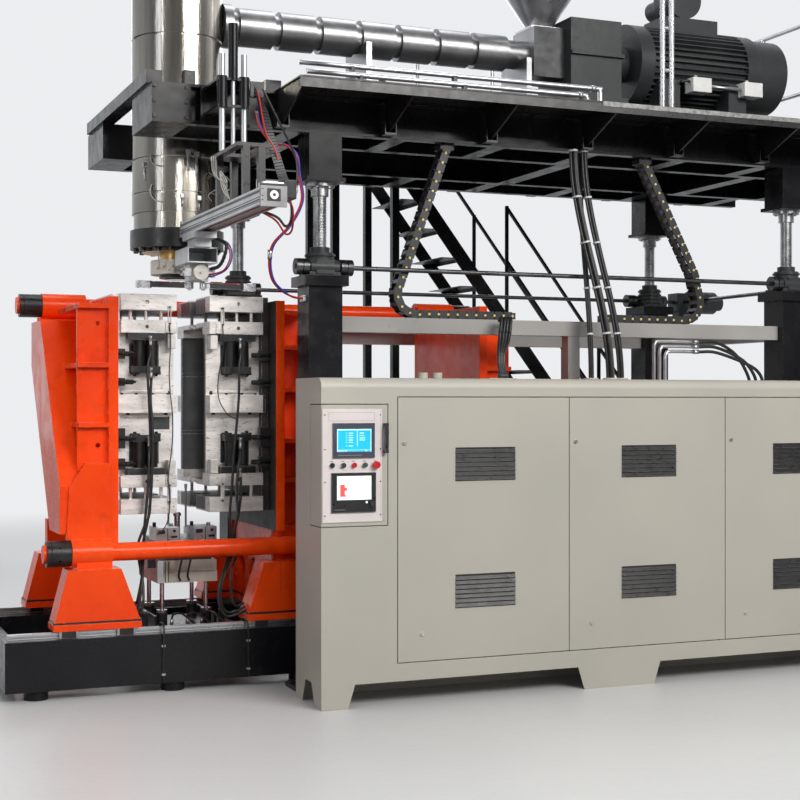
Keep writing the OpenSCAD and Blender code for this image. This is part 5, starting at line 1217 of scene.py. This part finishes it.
def jaw_fittings(bm, side):
    """Slots: 0 bright, 1 red."""
    for dx in (0.10, 0.17, 0.28):
        x = HEAD_X + side * dx
        bar(bm, (x, -0.515, 2.6022), (x, -0.515, 2.608), 0.008, sides=6)
    clamp = sorted((HEAD_X + side * 0.33, HEAD_X + side * 0.375))
    box(bm, clamp, (-0.545, -0.485), (2.6022, 2.609), bevel=0.002)
    line = ((0.07, -0.512, 2.6058), (0.15, -0.505, 2.6062), (0.24, -0.505, 2.6062), (0.34, -0.512, 2.606))
    hose(bm, [(HEAD_X + side * dx, y, z) for dx, y, z in line], 0.0035, slot=1, sides=8)


for side, name in ((-1, "left_jaw"), (1, "right_jaw")):
    piece(name + "_fittings", lambda bm: jaw_fittings(bm, side), [ground_steel, RED_HOSE], name)

piece("takeout_chain_clamp", lambda bm: box(bm, (-1.83, -1.74), (-1.15, -1.1352), (3.70, 3.80), bevel=0.004),
      [blackened], "platform")

# %% [markdown]
# ## Head and platform fittings
# The head shroud has pale conduits and small terminal boxes round it, and heater leads hang at its
# neck. Measured points would be hard to read on a round head, so places are given by angle and height.

# %% Head fittings
def ring_at(angle, radius, z):
    return HEAD_X + radius * math.cos(math.radians(angle)), radius * math.sin(math.radians(angle)), z


def head_fittings(bm):
    """Slots: 0 bright, 1 black, 2 pale wire, 3 brass."""
    for stops in ([(222, .312, 3.47), (224, .314, 3.42), (231, .312, 3.395), (240, .309, 3.39)],
                  [(224, .310, 3.27), (222, .316, 3.22), (228, .316, 3.17), (238, .309, 3.152)],
                  [(270, .182, 2.74), (271, .205, 2.735), (274, .24, 2.73), (276, .275, 2.80),
                   (277, .285, 2.861)],
                  [(262, .182, 2.75), (264, .21, 2.735), (268, .25, 2.75), (272, .28, 2.861)],
                  [(209, .182, 2.73), (216, .20, 2.735), (224, .22, 2.74), (228, .27, 2.861)]):
        hose(bm, [ring_at(*s) for s in stops], 0.0045, slot=2, sides=8)
    for angle, z, high in ((270, 3.36, 0.11), (281, 3.33, 0.13), (212, 3.30, 0.09), (262, 3.12, 0.06),
                           (284, 3.10, 0.07)):
        x, y, _ = ring_at(angle, 0.3045, z)
        top = z + high
        bar(bm, (x, y, z), (x, y, top), 0.009, sides=10)
        box(bm, about(x, 0.014), (y - 0.016, y + 0.004), (top, top + 0.03), bevel=0.002)
    for k, x in enumerate((-1.851, -1.80, -1.765)):
        hose(bm, [(x, -0.275 + 0.02 * k, 3.36), (x + 0.03, -0.31, 3.33), (x + 0.06, -0.30, 3.27),
                  (x - 0.01, -0.30, 3.21), (x + 0.02, -0.27, 3.17)], 0.003, slot=2, sides=6)
    for angle in (228, 248, 268, 288):
        bar(bm, ring_at(angle, 0.175, 2.74), ring_at(angle, 0.190, 2.74), 0.008, slot=3, sides=8)
    for angle in (238, 258, 278):
        bar(bm, ring_at(angle, 0.175, 2.715), ring_at(angle, 0.188, 2.715), 0.006, sides=6)
    box(bm, (-2.04, -1.96), (-0.345, -0.298), (3.905, 4.02), slot=1, bevel=0.005)


# %% [markdown]
# The heater band is a cream ring with rounded rims and a clamp screw. A cylinder primitive has sharp
# rims, so the band's outline is spun round the head instead.

# %% Heater band
BAND_OUTLINE = ((0.1632, 2.694), (0.176, 2.692), (0.178, 2.697),
                (0.178, 2.783), (0.176, 2.788), (0.1632, 2.786))
BAND_SIDES = 48


def heater_band(bm):
    """Slots: 0 cream, 1 bright."""
    verts = [[bm.verts.new((HEAD_X + r * math.cos(a), r * math.sin(a), z)) for r, z in BAND_OUTLINE]
             for a in (2 * math.pi * k / BAND_SIDES for k in range(BAND_SIDES))]
    for one, two in zip(verts, verts[1:] + verts[:1]):
        for i in range(len(BAND_OUTLINE)):
            j = (i + 1) % len(BAND_OUTLINE)
            bm.faces.new((one[i], two[i], two[j], one[j]))
    for z in (2.712, 2.768):
        bar(bm, ring_at(250, 0.1825, z), ring_at(263, 0.1825, z), 0.005, slot=1, sides=8)
    for angle in (251, 262):
        x, y, _ = ring_at(angle, 0.180, 2.74)
        box(bm, about(x, 0.006), (y - 0.010, y + 0.006), (2.697, 2.783), slot=1)


brass = finish("brass_fitting", **BRASS)
piece("heater_band", heater_band, [finish("heater_cream", **CREAM), ground_steel], "platform")
piece("head_fittings", head_fittings, [ground_steel, blackened, PALE_WIRE, brass], "platform")

# %% [markdown]
# On the deck lie bright water pipes, its front edge is worn bare, and white terminal boxes sit at the
# motor. Bolt heads round columns and jacks come from the bolt tree.

# %% Platform fittings
DECK_TOP = 3.789


def platform_fittings(bm):
    """Slots: 0 bright, 1 black, 2 worn edge, 3 white box."""
    for y, end, z in ((-1.40, 0.352, 3.835), (-1.25, 0.536, 3.922)):
        down = end + 0.033
        hose(bm, [(-1.55, y, z), (0, y, z), (end, y, z), (end + 0.025, y, z - 0.004), (down, y, z - 0.03),
                  (down, y, DECK_TOP)], 0.0165, sides=14)
        bar(bm, (end - 0.035, y, z), (end - 0.005, y, z), 0.022, sides=14)
        bar(bm, (down, y, DECK_TOP), (down, y, 3.81), 0.023, sides=14)
        for x in (-1.2, -0.5):
            box(bm, about(x, 0.012), about(y, 0.02), (DECK_TOP, z), slot=1)
    box(bm, (0.45, 3.209), (-1.4985, -1.4952), (3.758, 3.7885), slot=2)
    box(bm, (-1.60, 0.45), (-1.4985, -1.4952), (3.778, 3.7885), slot=1)
    for x0 in (1.86, 2.325):
        box(bm, (x0, x0 + 0.165), (-0.42, -0.30), (4.175, 4.285), slot=3, bevel=0.006)
        box(bm, (x0 + 0.01, x0 + 0.155), (-0.30, -0.235), (4.19, 4.27), slot=1)
        bar(bm, (x0 + 0.06, -0.36, 4.284), (x0 + 0.06, -0.36, 4.31), 0.012, sides=8)
    bar(bm, (2.024, -0.37, 4.232), (2.326, -0.37, 4.232), 0.014, sides=12)
    hose(bm, [(1.79, -0.36, 4.25), (1.83, -0.37, 4.262), (1.861, -0.37, 4.255)], 0.011, slot=1, sides=8)


white_box = finish("white_box", (0.78, 0.78, 0.76), (0.70, 0.70, 0.68), (0.35, 0.5), blotch=20)
worn_edge = finish("worn_edge", (0.34, 0.34, 0.33), (0.14, 0.14, 0.14), (0.4, 0.6), metal=0.4, blotch=30)
piece("platform_fittings", platform_fittings, [ground_steel, blackened, worn_edge, white_box], "platform")
columns = [(x, y) for x in (-1.3, 2.32) for y in (-0.93, 0.93)]
anchor = [(x + dx, y + dy, 0.0315) for x, y in columns for dx in (-0.145, 0.145) for dy in (-0.145, 0.145)]
bolts("anchor_bolts", anchor, (0, 0, 1), 0.019, "frame")
flange = [(x + 0.078 * math.cos(k * math.pi / 3), y + 0.078 * math.sin(k * math.pi / 3), 3.2045)
          for x, y in columns for k in range(6)]
bolts("jack_flange_bolts", flange, (0, 0, -1), 0.008, "platform", ground_steel)
tip = [(x, -1.0265, z) for x in (-2.395, -2.195) for z in (3.57, 3.665, 3.755)]
bolts("beam_tip_bolts", tip, (0, -1, 0), 0.012, "platform")

# %% [markdown]
# ## Floor and backdrop
# One pale sheet lies under the machine and runs far past it. A curved studio backdrop would need
# fitting to the view, so the sheet fades into the colour of the world with its distance instead.

# %% Floor
HALF_FLOOR = 60
FADE_FROM, FADE_TO = 7.0, 15.0


def studio_floor():
    mesh = bpy.data.meshes.new("studio_floor")
    corners = [(HALF_FLOOR * x, HALF_FLOOR * y, 0) for x, y in ((-1, -1), (1, -1), (1, 1), (-1, 1))]
    mesh.from_pydata(corners, [], [(0, 1, 2, 3)])
    floor = shown("studio_floor", mesh)
    pale = finish("pale_floor", (0.66, 0.66, 0.65), (0.62, 0.62, 0.615), (0.35, 0.5), blotch=0.4)
    tree = pale.node_tree
    shader = tree.nodes["Principled BSDF"]
    ray = wire(tree, "ShaderNodeLightPath").outputs
    seen = wire(tree, "ShaderNodeMath", ray["Is Camera Ray"], ray["Is Glossy Ray"], operation="MAXIMUM")
    pale_sheet = shader.inputs["Base Color"].links[0].from_socket
    feed(tree, shader, Base_Color=mixed(tree, seen, (0.15, 0.15, 0.155), pale_sheet))
    place = wire(tree, "ShaderNodeTexCoord").outputs["Object"]
    reach = wire(tree, "ShaderNodeVectorMath", place, operation="LENGTH").outputs["Value"]
    far = times(tree, ranged(tree, reach, FADE_FROM, FADE_TO), ray["Is Camera Ray"])
    fade = wire(tree, "ShaderNodeMixShader", far, shader, wire(tree, "ShaderNodeEmission", Color=SKY))
    feed(tree, tree.nodes["Material Output"], Surface=fade)
    mesh.materials.append(pale)


studio_floor()
print("floor:", 2 * HALF_FLOOR, "m wide")
